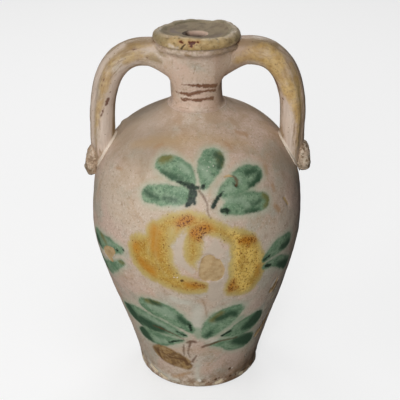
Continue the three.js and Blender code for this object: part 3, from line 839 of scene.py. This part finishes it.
handlePaint = {  # by mm along the strap and degrees round it, 0 at the back and -90 in front
    "left": {
        "ochre": [
            ([(38, -45), (59, -48), (75, -60), (88, -80), (101, -84), (115, -75), (130, -62)],
             (2, 3, 4, 4.5, 4, 3, 2)),
            ([(37, -85), (45, -84), (53, -84), (64, -94)], (2, 4, 4, 2)),
            ([(118, -56), (135, -52), (150, -54)], (1, 1.4, 1)),
        ],
        "paleBandAndGloss": [
            ([(60, -22), (85, -25), (118, -38), (150, -44)], (3, 4, 4, 3.5)),
            ([(34, -55), (42.5, -54), (52, -62)], (2, 2.4, 1.5)),
            ([(66, -112), (95, -123), (120, -118), (150, -108)], (3, 6, 7, 6)),
            # a painted highlight
            ([(51, -116), (56, -114), (61, -118)], (1.6, 2, 1.4)),
        ],
        "brownMarkAndShadow": [
            ([(50.5, -54), (54.5, -55)], (0.8, 1)), ([(43.2, -93)], 0.9), ([(93.3, -72)], 0.8),
            ([(86, -69), (88.5, -70)], (0.6, 0.9)), ([(104, -114), (109.5, -107)], (1.5, 1.5)),
            ([(114, -97), (122, -86)], (0.5, 0.7)), ([(97, -116)], 0.7),
        ],
        # olive glaze at the root, and painted shade along the crown's top and the leg's inner edge
        "oliveAndShade": [([(31, -92), (37, -88), (42, -86)], (1.5, 3.5, 2)), ([(26, -62), (34, -60)], (2, 2)),
                  ([(95, -158), (120, -156), (150, -152)], (2.5, 3, 3)),
                  ([(40, -18), (58, -20), (76, -28)], (5, 6, 4)), ([(48, -70), (62, -72)], (2, 2))],
    },
    "right": {
        "ochre": [
            ([(35, -95), (44, -87), (54.5, -75), (64, -85), (72, -100), (85, -106), (98, -106), (108, -102)],
             (4, 6, 8.5, 9.5, 9.5, 8, 5.5, 2)),
            ([(96, -88), (112, -84), (128, -76)], (5, 4, 1.5)),
            ([(80, -45), (100.7, -54), (137, -63), (152, -60)], (3, 3.5, 2.5, 1.5)),
        ],
        # pale glaze with a painted highlight down the front of the leg
        "paleBandAndGloss": [
            ([(108, -120), (119.3, -117), (130, -127), (138, -122)], (4, 6.5, 6.5, 4)),
            ([(140, -112), (155, -105)], (4, 4)),
        ],
        # brown specks, and a painted shadow (the last stroke) where the strap passes under the ring
        "brownMarkAndShadow": [([(80, -154), (91, -150), (99, -146)], (0.9, 1.4, 0.6)), ([(107, -138)], 1.2),
                      ([(37.2, -12), (35.6, -24), (35, -36)], (1.2, 1.4, 0.6))],
        # painted shade along the crown's top, and a small olive smear
        "oliveAndShade": [([(36, -30), (46, -33), (62, -25)], (5, 5, 4)), ([(88, -84), (96, -84)], (1.5, 1.5))],
    },
}


def handleField(points, name, field):  # the strokes of one handle, for points on it or beside it
    hand = handleHands[name]
    path = handlePath(hand)
    length = np.linalg.norm(np.diff(path, axis=0), axis=1).sum()

    def onStrap(mmAlong, degrees):
        place = strapPoint(hand, path, np.array([mmAlong / length]), math.radians(degrees))[0][0]
        return place * [hand["side"], 1, 1]

    return brushed(points, handlePaint[name][field], onStrap)


# Neck

neckStripes = [
    ([(-28, 299.7), (-3, 299.3), (19, 298.4), (43, 296.8)], (0.6, 1.2, 1.7, 2)),
    ([(-48, 290.7), (-30, 291), (-15, 290.7), (4, 292.8), (24, 293.5), (43, 292.3)],
     (0.5, 1.2, 1.8, 1.3, 1.2, 1.5)),
    ([(-34, 286), (-28, 284.8), (-18, 286.5), (1.5, 285.4), (19, 286.3), (38, 285.7)],
     (1, 1.4, 0.9, 1.5, 1.2, 1.7)),
]
neckMarks = [
    ([(-2, 318.5), (-1.7, 315), (-4.5, 310)], (0.3, 0.5, 0.3)),
    ([(-41, 277), (-20, 277.5)], (0.5, 0.6)),
    ([(15, 278), (38, 277)], (0.5, 0.5)),
    ([(-14, 329.1), (-8, 327.9)], (1.2, 1.5)),
]
# painted shadow along the near and left edge of the hole
holeShadowLine = [([(-140, 10.6), (-105, 10.8), (-75, 11.2), (-35, 11.4), (10, 11)], (0.3, 1, 1.3, 1, 0.3))]
dishShade = [([(-118, 23), (-98, 20), (-86, 14.5)], (1.6, 3, 2)), ([(40, 22), (70, 23)], (1.5, 1.5))]
ringHand = {
    "wave": 0.7, "dip": 1.2, "dipAt": 158, "dipWide": 14, "rise": 2.6, "riseAt": 126, "riseWide": 32,
    "lump": 1.0, "grit": 0.4, "crack": 0.9, "shift": 0.8,
}
neckHand = {"shift": 1.0, "lump": 0.45, "luting": 13, "dive": 0.7}


def neckBase(finish):
    f = finish
    return f.over(f.ramp(f.cloud(20, 3), 0.40, 0.62, 0.5), glazeBase(f, 0.8), paint(204, 174, 152))


def neckShade(finish):  # painted shade on the right side
    return finish.ramp(finish.axis("X"), 4 * mm, 22 * mm, 0.4)


def handWash(finish, colour, ragged, strength, light=1.0, patchy=0.5):
    f = finish  # ochre, olive and pale bands that run from neck to handle, with painted shade among the olive strokes and painted gloss among the pale ones
    ochre = f.over(f.ramp(f.cloud(8, 3), 0.4, 0.6), paint(196 * light, 166 * light, 110 * light),
                   paint(178 * light, 144 * light, 86 * light))
    ochre = f.mottle(ochre, (2.2, 3), (0.48, 0.70, 0.6), paint(142, 108, 62))
    # olive glaze, with painted shade along the crowns and the inner edge
    colour = f.lay(colour, paint(134, 110, 72), "oliveAndShade", 2.4, 7, ragged, 0.75)
    # pale glaze, with painted gloss highlights
    colour = f.lay(colour, paint(208, 191, 177), "paleBandAndGloss", 2.6, 7, ragged, 0.72)
    whole = f.ramp(f.cloud(17, 3, 0.6), 0.56, 0.38, patchy)
    share = f.times(f.strokes("ochre", 2.8, 12, ragged, strength), f.calc("SUBTRACT", 1, whole))
    return f.over(share, colour, ochre)


def stripedGlaze():
    f = Finish("stripedTinGlaze")
    ragged = f.cloud(2.4, 4, 0.65)
    colour = handWash(f, neckBase(f), ragged, 0.7)
    colour = f.lay(colour, paint(140, 106, 78), "faintLine", 0.6, 1.6, ragged, 0.55)
    colour = f.lay(colour, paint(108, 68, 44), "darkLine", 0.8, 5, ragged, 0.92)
    # painted shade over the neck's right side
    colour = f.over(neckShade(f), colour, paint(152, 118, 88))
    seam = f.times(f.field("collar"), f.ramp(f.cloud(5, 4, 0.65), 0.40, 0.64, 0.65))
    colour = f.over(seam, colour, paint(146, 122, 88))
    dishTone = f.over(f.ramp(f.cloud(9, 3), 0.4, 0.65), paint(142, 128, 103), paint(120, 106, 86))
    dishTone = f.lay(dishTone, paint(122, 108, 104), "dishShade", 2, 4, ragged, 0.7)
    colour = f.over(f.times(f.field("dish"), 0.92), colour, dishTone)
    # the bore painted dark as shade, with painted light on its far wall
    inside = f.over(f.field("litClay"), paint(92, 74, 60), paint(242, 210, 188))
    colour = f.over(f.field("hole"), colour, inside)
    # painted shadow line round the near edge of the hole
    colour = f.lay(colour, paint(70, 56, 46), "holeShadowLine", 0.5, 1, ragged, 0.9)
    return glazed(f, colour, (8, 0.08, 0.35), 0.6, (10, 0.15, 0.36), matt=f.times(f.field("dish"), 0.85))


def rootGap(points):  # distance outside the two handle roots
    s, x = handleSize, np.abs(points[:, 0])
    sides = [handleHands["left"], handleHands["right"]]
    swell, rise = (np.where(points[:, 0] < 0, *(hand[key] for hand in sides)) for key in ("root", "rise"))
    flare = np.clip(1 - (x - bore) / s["rootLength"], 0, 1) ** s["rootCurve"]
    half = (s["thickness"] + s["crownSwell"] + swell * flare) / 2
    wide = (s["width"] + s["rootSpread"] * flare) / 2
    rise = rise * np.clip((x - bore) / (neckSize["radius"] + s["armReach"] - bore), 0, 1)
    up = points[:, 2] - (ringSeat - s["drop"] + rise) + swell * flare / 2
    ratio = np.hypot(up / half, points[:, 1] / wide)
    return (ratio - 1) * ratio / np.maximum(np.hypot(up / half ** 2, points[:, 1] / wide ** 2), 1e-3)


def luteRoots(points, reach, dive):  # move the neck's skin out on to clay smoothed into the handle roots
    outward = points * [1, 1, 0] / np.maximum(polar(points)[1], 1)[:, None]
    moved = np.full(len(points), -1.0)
    for step in np.arange(0, reach.max(), 0.2):
        gap = rootGap(points + step * outward)
        share = np.clip(1 - np.abs(step - gap) / reach, 0, 1)
        clear = np.minimum(step, gap) - share ** 2 * reach / 4 >= -1e-6
        moved[clear & (moved < 0)] = step
    moved = np.where(moved < 0, reach, np.minimum(moved, reach))
    moved = np.where(rootGap(points) > reach, 0, moved)
    fresh = points + moved[:, None] * outward
    slope = [rootGap(fresh + step) - rootGap(fresh - step) for step in 0.3 * np.eye(3)]
    slope = np.array(slope).T / np.maximum(np.linalg.norm(slope, axis=0), 1e-6)[:, None]
    under = smooth(moved / reach, 0.7, 1)
    return fresh - slope * (dive * under)[:, None], under


def ringWave(around):  # the uneven height of the mouth's crest
    h, turn = ringHand, np.radians(around)

    def hump(place):
        return np.exp(-((((around - h[place + "At"] + 180) % 360 - 180) / h[place + "Wide"]) ** 2))

    wave = h["wave"] * (np.cos(2 * turn + 0.6) + 0.6 * np.cos(3 * turn + 1.9))
    return wave + h["rise"] * hump("rise") - h["dip"] * hump("dip")


def makeNeck():
    s, h = neckSize, neckHand
    rim = ringMiddle - s["rimInset"]
    dishTop = ringSeat + s["dishRise"]
    dishFloor = dishTop - s["dishDepth"]
    dish = bezier((rim, dishTop), (rim - 5, dishTop - 1.2), (s["mouth"] + 8, dishFloor + 0.7),
                  (s["mouth"] + s["mouthEdge"], dishFloor), 24)
    lip = bezier((s["mouth"] + s["mouthEdge"], dishFloor), (s["mouth"] + 1.2, dishFloor - 0.5),
                 (s["mouth"] + 0.3, dishFloor - 1.6), (s["mouth"], dishFloor - s["mouthEdge"] - 1), 10)
    shaft = [(s["mouth"], collarBottom - 2), (bore, collarBottom - s["flare"]), (bore, bellySize["shoulder"])]
    outline = np.vstack([neckWall, [(rim, ringSeat + 0.5)], dish, lip, shaft, neckWall[:1]])
    piece = throwOnWheel("lutedNeck", evenly(outline, s["rows"])[:-1], s["around"], closed=True)
    points = gatherFront(meshPoints(piece.data), 0.3)
    around, radius = polar(points)
    height = points[:, 2]
    outer = (radius > (s["radius"] + bore) / 2) & (height < ringSeat)

    def onDish(degrees, reach):
        angle, level = math.radians(degrees), float(np.interp(reach, dish[::-1, 0], dish[::-1, 1]))
        return reach * math.sin(angle), -reach * math.cos(angle), level

    for name, strokes in (("darkLine", neckStripes), ("faintLine", neckMarks)):
        keepField(piece.data, name, np.where(outer, brushed(points, strokes, onNeck), farOff))
    for name, strokes in (("holeShadowLine", holeShadowLine), ("dishShade", dishShade)):
        keepField(piece.data, name, brushed(points, strokes, onDish))
    keepField(piece.data, "dish", smooth(height, dishFloor - 0.7, dishFloor - 0.1))
    inHole = radius < bore + 0.5
    # where light is painted on the bore's far wall
    lit = smooth(np.cos(np.radians(around - 150)), -0.1, 0.5) * smooth(height, dishFloor - 7, dishFloor - 3.5)
    keepField(piece.data, "hole", smooth(-height, -dishFloor + 0.2, -dishFloor + 0.9) * inHole)
    keepField(piece.data, "litClay", lit * inHole)
    edge = smooth(height, collarBottom - 6, collarBottom + 1) * outer
    keepField(piece.data, "collar", edge)
    beside = smooth(np.abs(points[:, 1]) / np.maximum(radius, 1), 0.25, 0.6)
    points = tilted(points)
    free = smooth(height, bellySize["shoulder"], bellySize["shoulder"] + 14)
    points[:, 0] -= h["shift"] * free
    thin = 1 - 0.7 * smooth(height, collarBottom - 9, collarBottom + 2)
    reach = h["luting"] * (0.25 + 0.75 * beside) * thin
    luted, under = luteRoots(points, reach, h["dive"])
    points = np.where(outer[:, None], luted, points)
    swell = h["lump"] * lumps(points, 17, 2.3) * free + 0.8 * lumps(points, 7, 6.2) * edge
    swell *= outer * (1 - under)
    points[:, :2] *= 1 + (swell / np.maximum(radius, 1))[:, None]
    inDish = (height > dishFloor - 1) & (radius < rim + 0.1)
    wave = ringWave(around) * smooth(radius, s["mouth"], rim)
    points[:, 2] += np.where(inDish, wave + 0.5 * lumps(points, 8, 4.1) + 0.2 * lumps(points, 3, 8.3), 0)
    for name in handlePaint["left"]:
        values = [np.where(points[:, 0] * hand["side"] > 0, handleField(points, side, name), farOff)
                  for side, hand in handleHands.items()]
        keepField(piece.data, name, np.where(outer, np.minimum(*values), farOff))
    movePoints(piece.data, points)
    standFor(piece, "neck", stripedGlaze())


makeNeck()

# Mouth ring

ringMarks = {
    "rustSpot": [
        ([(-9.5, 339.8), (-6, 339), (-2, 339.8)], (0.8, 1.9, 1)), ([(-6.5, 337)], 1.3),
        ([(-22, 339.6), (-17.5, 338.8)], (0.7, 1)), ([(2, 340.2)], 0.8),
    ],
    "crackLine": [([(-14, 338.1), (-17, 336.3), (-20, 333.8)], (0.4, 0.7, 0.8))],
    "whiteChip": [([(-37, 335.4), (-32, 334.6)], (1.3, 1.5)), ([(-27, 334), (-24, 334.6)], (1.1, 1))],
    "oliveWash": [([(-80, 340), (-58, 339), (-43, 338.6)], (3, 4, 2.4)), ([(58, 338), (74, 339)], (2.4, 3))],
}


def ochreRing():
    f = Finish("ochreRingGlaze")
    ragged = f.cloud(2.2, 4, 0.65)
    colour = f.over(0.55, glazeBase(f, 0.6), paint(158, 142, 112))
    front = f.ramp(f.calc("ADD", f.axis("Y"), f.times(f.cloud(14, 3), 20 * mm)), 8 * mm, -24 * mm)
    ochre = f.over(f.ramp(f.cloud(6, 4), 0.4, 0.62), paint(192, 164, 112), paint(168, 136, 80))
    colour = f.over(f.times(front, 0.8), colour, ochre)
    colour = f.mottle(colour, (4, 4, 0.65, 0.5), (0.52, 0.68, 0.8), paint(116, 98, 62))
    colour = f.mottle(colour, (3, 4, 0.65, 0.5), (0.44, 0.30, 0.6), paint(206, 190, 156))
    shade = f.ramp(f.cloud(16, 3), 0.42, 0.6)
    colour = f.over(f.times(f.field("innerSide"), 0.85), colour,
                    f.over(shade, paint(152, 138, 112), paint(126, 116, 91)))
    colour = f.lay(colour, paint(178, 118, 62), "rustSpot", 2.4, 4, ragged, 0.75)
    colour = f.lay(colour, paint(84, 34, 4), "rustSpot", 0.5, 2.8, ragged)
    colour = f.lay(colour, paint(134, 118, 82), "oliveWash", 3, 7, ragged, 0.6)
    colour = f.lay(colour, paint(212, 197, 180), "whiteChip", 1.4, 4, ragged, 0.75)
    colour = f.lay(colour, paint(70, 54, 36), "crackLine", 0.4, 0.8, ragged, 0.9)
    dull = f.times(f.field("innerSide"), 0.75)
    return glazed(f, colour, (4, 0.15, 0.45), 0.75, (10, 0.15, 0.4), paint(104, 74, 44), dull)


def makeRing():
    s, h = ringSize, ringHand
    seat = math.asin(s["undercut"] / ringCrown)
    turn = np.linspace(-seat, math.pi + seat, 80)
    across, up = ringMiddle + s["width"] / 2 * np.cos(turn), ringGirth + ringCrown * np.sin(turn)
    section = np.stack([across, up], axis=1)
    outline = evenly(np.vstack([section, section[:1]]), s["rows"])[:-1]
    piece = throwOnWheel("mouthRing", outline, s["around"], closed=True)
    points = gatherFront(meshPoints(piece.data), 0.3)
    around, radius = polar(points)
    height = points[:, 2]
    for name, strokes in ringMarks.items():
        keepField(piece.data, name, brushed(points, strokes, onRing))
    keepField(piece.data, "innerSide", smooth(-radius, -ringMiddle - 1, -ringMiddle + 2))
    crack = brushed(points, ringMarks["crackLine"], onRing)
    points = tilted(points) - [h["shift"], 0, 0]
    top = smooth(height, ringSeat, ringGirth + ringCrown)
    points[:, 2] += top * ringWave(around)
    lump = h["lump"] * lumps(points, 9, 5.3) + h["grit"] * lumps(points, 3.5, 1.1)
    lump -= h["crack"] * smooth(-crack, -0.4, 0.3)
    section = np.stack([radius - ringMiddle, height - ringGirth], axis=1)
    section /= np.maximum(np.linalg.norm(section, axis=1), 1e-6)[:, None]
    firm = smooth(height, ringSeat + 0.3, ringSeat + 2.5)
    points[:, :2] *= 1 + (section[:, 0] * lump * firm / radius)[:, None]
    points[:, 2] += section[:, 1] * lump * firm
    movePoints(piece.data, points)
    standFor(piece, "mouth_ring", ochreRing())


makeRing()

# Handles

def strapLine(hand, path, angle):  # one line down the strap, from the neck to the belly
    along = np.linspace(0, 1, 900)
    mouth, wall = clearance(strapPoint(hand, path, along, angle)[0])
    sunk = -handleSize["sunk"]
    first = along[np.nonzero(mouth < sunk)[0].max(initial=0)]
    inside = np.nonzero((wall < sunk) & (along > 0.5))[0]
    last = along[inside.min()] if len(inside) else 1.0
    return first, last


def pulledGlaze(name, hand):
    f = Finish(name)
    along, across = f.field("along"), f.field("across")
    strap = f.add("CombineXYZ", {0: along, 1: f.times(across, 6.0), 2: hand["seed"]}).outputs[0]
    streak = f.cloud(30, 4, 0.6, 0.3, strap)
    fineStreak = f.cloud(11, 3, 0.6, 0.2, strap)
    ragged = f.cloud(2.4, 4, 0.65)
    colour = f.over(0.4, glazeBase(f, 0.9), paint(184, 160, 134))
    colour = f.over(f.ramp(streak, 0.48, 0.64, 0.6), colour, paint(160, 134, 100))
    colour = f.over(f.ramp(fineStreak, 0.48, 0.62, 0.72), colour, paint(140, 114, 86))
    colour = f.over(f.ramp(fineStreak, 0.47, 0.32, 0.72), colour, paint(208, 190, 178))
    colour = f.over(f.times(f.field("groove"), 0.3), colour, paint(146, 118, 80))
    colour = f.over(f.field("nearNeck"), colour, neckBase(f))
    swept = f.calc("ADD", f.times(ragged, 0.5), f.times(fineStreak, 0.5))
    colour = handWash(f, colour, swept, hand["ochre"], hand["light"], hand["patchy"])
    # painted shade where the right handle meets the neck
    colour = f.over(f.times(f.field("nearNeck"), neckShade(f)), colour, paint(152, 118, 88))
    colour = f.over(f.times(f.field("footEdge"), 0.7), colour, paint(216, 203, 186))
    # brown specks, and painted shadow under the ring
    colour = f.lay(colour, paint(98, 62, 46), "brownMarkAndShadow", 0.7, 2.6, ragged, 0.9)
    colour = f.over(f.times(f.specks(3.4, 0.18, 0.36), 0.8), colour, paint(110, 80, 50))
    return glazed(f, colour, (7, 0.09, 0.35), 0.7, (12, 0.15, 0.36))


def makeHandle(name):
    s, hand = handleSize, handleHands[name]
    path = handlePath(hand)
    angles = np.linspace(0, math.tau, s["sides"], endpoint=False)
    angles = np.where(angles > math.pi, angles - math.tau, angles)
    trims = [strapLine(hand, path, angle) for angle in angles]
    share = np.linspace(0, 1, s["rows"])
    share = share - 0.10 * np.sin(math.tau * share)
    lines, fields = [], []
    length = np.linalg.norm(np.diff(path, axis=0), axis=1).sum()
    for angle, (first, last) in zip(angles, trims):
        along = first + (last - first) * share
        point, out = strapPoint(hand, path, along, angle)
        wall = np.clip(clearance(point)[1], 0, s["fillet"])
        small = s["fillet"] - np.sqrt(np.clip(2 * s["fillet"] * wall - wall ** 2, 0, None))
        point = point + out * small[:, None]
        lines.append(point)
        across = angle / math.tau * s["girth"] * mm
        fields.append(np.stack([along * length * mm, 0 * along + across, 0 * along + fluting(angle)], axis=1))
    lines, fields = np.array(lines), np.array(fields)

    bm = bmesh.new()
    loop = bmesh.ops.create_circle(bm, segments=s["sides"], radius=s["thickness"] * mm / 2)["verts"]
    firstLoop = loop
    rows = [loop]
    for _ in range(1, s["rows"]):
        edges = [bm.edges.get((a, b)) for a, b in zip(loop, loop[1:] + loop[:1])]
        made = bmesh.ops.extrude_edge_only(bm, edges=edges)["geom"]
        fresh = {v for v in made if isinstance(v, bmesh.types.BMVert)}
        loop = [next(e.other_vert(v) for e in v.link_edges if e.other_vert(v) in fresh) for v in loop]
        rows.append(loop)
    for row, loop in enumerate(rows):
        for vert, point in zip(loop, lines[:, row]):
            vert.co = point * mm
    caps = []
    for ends in (firstLoop, loop):
        edges = [bm.edges.get((a, b)) for a, b in zip(ends, ends[1:] + ends[:1])]
        caps += bmesh.ops.edgeloop_fill(bm, edges=edges)["faces"]
    bmesh.ops.poke(bm, faces=caps)
    bm.verts.index_update()
    piece = newPiece(name + "Handle", bm)
    points = meshPoints(piece.data)
    values = np.zeros((len(points), 3))
    values[: s["sides"] * s["rows"]] = fields.transpose(1, 0, 2).reshape(-1, 3)
    for column, field in enumerate(("along", "across", "groove")):
        keepField(piece.data, field, values[:, column])
    for field in handlePaint[name]:
        keepField(piece.data, field, handleField(points * [hand["side"], 1, 1], name, field))
    keepField(piece.data, "nearNeck", smooth(-points[:, 0], -56, -36))
    mouth, wall = clearance(points)
    keepField(piece.data, "footEdge", smooth(-wall, -1.9, -0.8))
    free = smooth(mouth, 12, 26) * smooth(wall, 0.5, 8)
    for axis in range(3):
        bend = s["bend"] * lumps(points, 20, hand["seed"] + axis * 4.7)
        points[:, axis] += free * (bend + s["grit"] * lumps(points, 6, axis * 2.2))
    points[:, 0] *= hand["side"]
    movePoints(piece.data, points)
    if hand["side"] < 0:
        piece.data.flip_normals()
    standFor(piece, name + "_handle", pulledGlaze(name + "HandleGlaze", hand))


makeHandle("left")
makeHandle("right")

# Wads of clay over the handles' lower ends

wadSize = {
    "thickness": 15, "width": 24, "length": 32, "fuller": 0.3, "drop": 10.5, "proud": 6.5, "tilt": 8,
    "dent": 1.8, "lump": 1.6, "grit": 0.7, "wrap": 1.5,
}
wadHands = {
    "left": {"side": -1, "lift": -0.5, "out": 0.0, "seed": 2.0, "bare": 0.8, "rough": 0.65},
    "right": {"side": 1, "lift": 4.7, "out": 0.8, "seed": 6.0, "bare": 0.5, "rough": 1.0},
}


def thumbedGlaze(name):
    f = Finish(name + "WadGlaze")
    colour = f.over(wadHands[name]["bare"], glazeBase(f, 0.9), paint(172, 146, 120))
    colour = f.mottle(colour, (9, 4, 0.6, 0.5), (0.46, 0.64, 0.6), paint(150, 125, 98))
    colour = f.mottle(colour, (3, 3), (0.54, 0.68, 0.7), paint(114, 92, 70))
    flaked = f.ramp(f.cloud(4.4, 4, 0.65, 0.5), 0.50, 0.42, 0.85 * wadHands[name]["rough"])
    colour = f.over(flaked, colour, paint(208, 192, 170))
    cracked = f.ramp(f.cloud(3.8, 4, 0.65, 0.8), 0.52, 0.60, 0.85 * wadHands[name]["rough"])
    colour = f.over(cracked, colour, paint(104, 80, 52))
    return glazed(f, colour, (4, 0.12, 0.4), 0.7, (6, 0.15, 0.42))


def makeWad(name):
    s, hand = wadSize, wadHands[name]
    path = handlePath(handleHands[name])
    bm = bmesh.new()
    bmesh.ops.create_icosphere(bm, subdivisions=5, radius=mm)
    piece = newPiece(name + "HandleWad", bm)
    points = meshPoints(piece.data)
    fuller = 1 - s["fuller"] * points[:, 2]
    points[:, :2] *= fuller[:, None]
    points *= [s["thickness"] / 2, s["width"] / 2, s["length"] / 2]
    tilt = math.radians(s["tilt"])
    points = np.stack([
        points[:, 0] * math.cos(tilt) - points[:, 2] * math.sin(tilt), points[:, 1],
        points[:, 0] * math.sin(tilt) + points[:, 2] * math.cos(tilt),
    ], axis=1)
    middle = float(bellyRadius(landing)) + handleSize["thickness"] / 2 + s["proud"] - s["thickness"] / 2
    points += [middle + hand["out"], 0, landing - s["drop"] + hand["lift"]]
    thumb = [middle + s["thickness"] / 2 + 4, 0, landing - s["drop"] + 2]
    dent = np.linalg.norm((points - thumb) / [1, 1, 1.2], axis=1)
    points[:, 0] -= s["dent"] * smooth(-dent, -9.5, -4)
    for axis in range(3):
        points[:, axis] += s["lump"] * lumps(points, 9, hand["seed"] + 3.3 * axis)
        points[:, axis] += s["grit"] * hand["rough"] * lumps(points, 3.2, hand["seed"] + axis)
    middles = np.interp(-points[:, 2], -path[:, 1][300:], path[:, 0][300:])
    half, wide = (handleSize[key] / 2 - s["wrap"] for key in ("thickness", "width"))
    deep = np.hypot((points[:, 0] - middles) / half, points[:, 1] / wide)
    push = np.where(deep < 1, 1 / np.maximum(deep, 0.15), 1)
    points[:, 0] = middles + (points[:, 0] - middles) * push
    points[:, 1] *= push
    radius = polar(points)[1]
    sunk = bellyRadius(points[:, 2]) - 1
    points[:, :2] *= np.maximum(1, sunk / radius)[:, None]
    points[:, 0] *= hand["side"]
    movePoints(piece.data, points)
    if hand["side"] < 0:
        piece.data.flip_normals()
    standFor(piece, name + "_handle_wad", thumbedGlaze(name))


makeWad("left")
makeWad("right")

# Floor, lights and camera

stage = {
    "floor": 8.0, "floorTone": (0.3, 0.3, 0.3, 1), "floorBounce": (0.06, 0.06, 0.06, 1), "floorGlow": 0.66,
    "worldFill": 0.02, "worldSeen": 0.6,
}
camera = {"aim": (0, 0, 0.170), "far": 1.0, "above": 28.6, "lens": 96.03, "shift": (0.0068, 0.0123)}


def makeFloor():
    bm = bmesh.new()
    bmesh.ops.create_grid(bm, x_segments=1, y_segments=1, size=stage["floor"] / 2)
    floor = newPiece("paleFloor", bm)
    f = Finish("paleFloorPaint")
    seen = f.add("LightPath").outputs["Is Camera Ray"]
    f.feed(f.shader.inputs["Base Color"], f.over(seen, stage["floorBounce"], stage["floorTone"]))
    f.shader.inputs["Roughness"].default_value = 0.8
    f.shader.inputs["Emission Color"].default_value = (1, 1, 1, 1)
    f.feed(f.shader.inputs["Emission Strength"], f.times(seen, stage["floorGlow"]))
    floor.data.materials.append(f.material)


def makeLamp(name, place, size, power):
    lamp = bpy.data.lights.new(name, "AREA")
    lamp.shape, lamp.size, lamp.energy = "DISK", size, power
    holder = bpy.data.objects.new(name, lamp)
    holder.location = place
    holder.rotation_euler = (Vector(place) - Vector(camera["aim"])).to_track_quat("Z", "Y").to_euler()
    bpy.context.scene.collection.objects.link(holder)


def towards(around, above, far):  # a place seen from the jug, in degrees to the right of the front and up
    turn, rise = math.radians(around), math.radians(above)
    across, up = far * math.cos(rise), far * math.sin(rise)
    return across * math.sin(turn), -across * math.cos(turn), camera["aim"][2] + up


def makeLight():
    makeLamp("softFront", towards(-11, 14, 1.7), 0.7, 20)
    makeLamp("windowLeft", towards(-70, 20, 1.5), 0.9, 5.0)
    makeLamp("overhead", towards(15, 72, 1.4), 0.7, 4.2)
    makeLamp("backRight", towards(168, 44, 1.6), 0.6, 7)
    makeLamp("backLeft", towards(-152, 44, 1.6), 0.6, 5)
    world = bpy.data.worlds.new("studio")
    world.use_nodes = True
    nodes, links = world.node_tree.nodes, world.node_tree.links
    back, seen, bright = nodes["Background"], nodes.new("ShaderNodeLightPath"), nodes.new("ShaderNodeMath")
    back.inputs["Color"].default_value = (1, 1, 1, 1)
    bright.operation = "MULTIPLY_ADD"
    links.new(seen.outputs["Is Camera Ray"], bright.inputs[0])
    bright.inputs[1].default_value = stage["worldSeen"]
    bright.inputs[2].default_value = stage["worldFill"]
    links.new(bright.outputs[0], back.inputs["Strength"])
    bpy.context.scene.world = world


def makeCamera():
    lens = bpy.data.cameras.new("photographer")
    lens.lens, lens.sensor_width = camera["lens"], 36
    lens.shift_x, lens.shift_y = camera["shift"]
    holder = bpy.data.objects.new("photographer", lens)
    above = math.radians(camera["above"])
    holder.location = Vector(camera["aim"]) + camera["far"] * Vector((0, -math.cos(above), math.sin(above)))
    holder.rotation_euler = (math.pi / 2 - above, 0, 0)
    bpy.context.scene.collection.objects.link(holder)
    bpy.context.scene.camera = holder


makeFloor()
makeLight()
makeCamera()
bpy.context.scene.view_settings.view_transform = "Standard"
print("stage set")
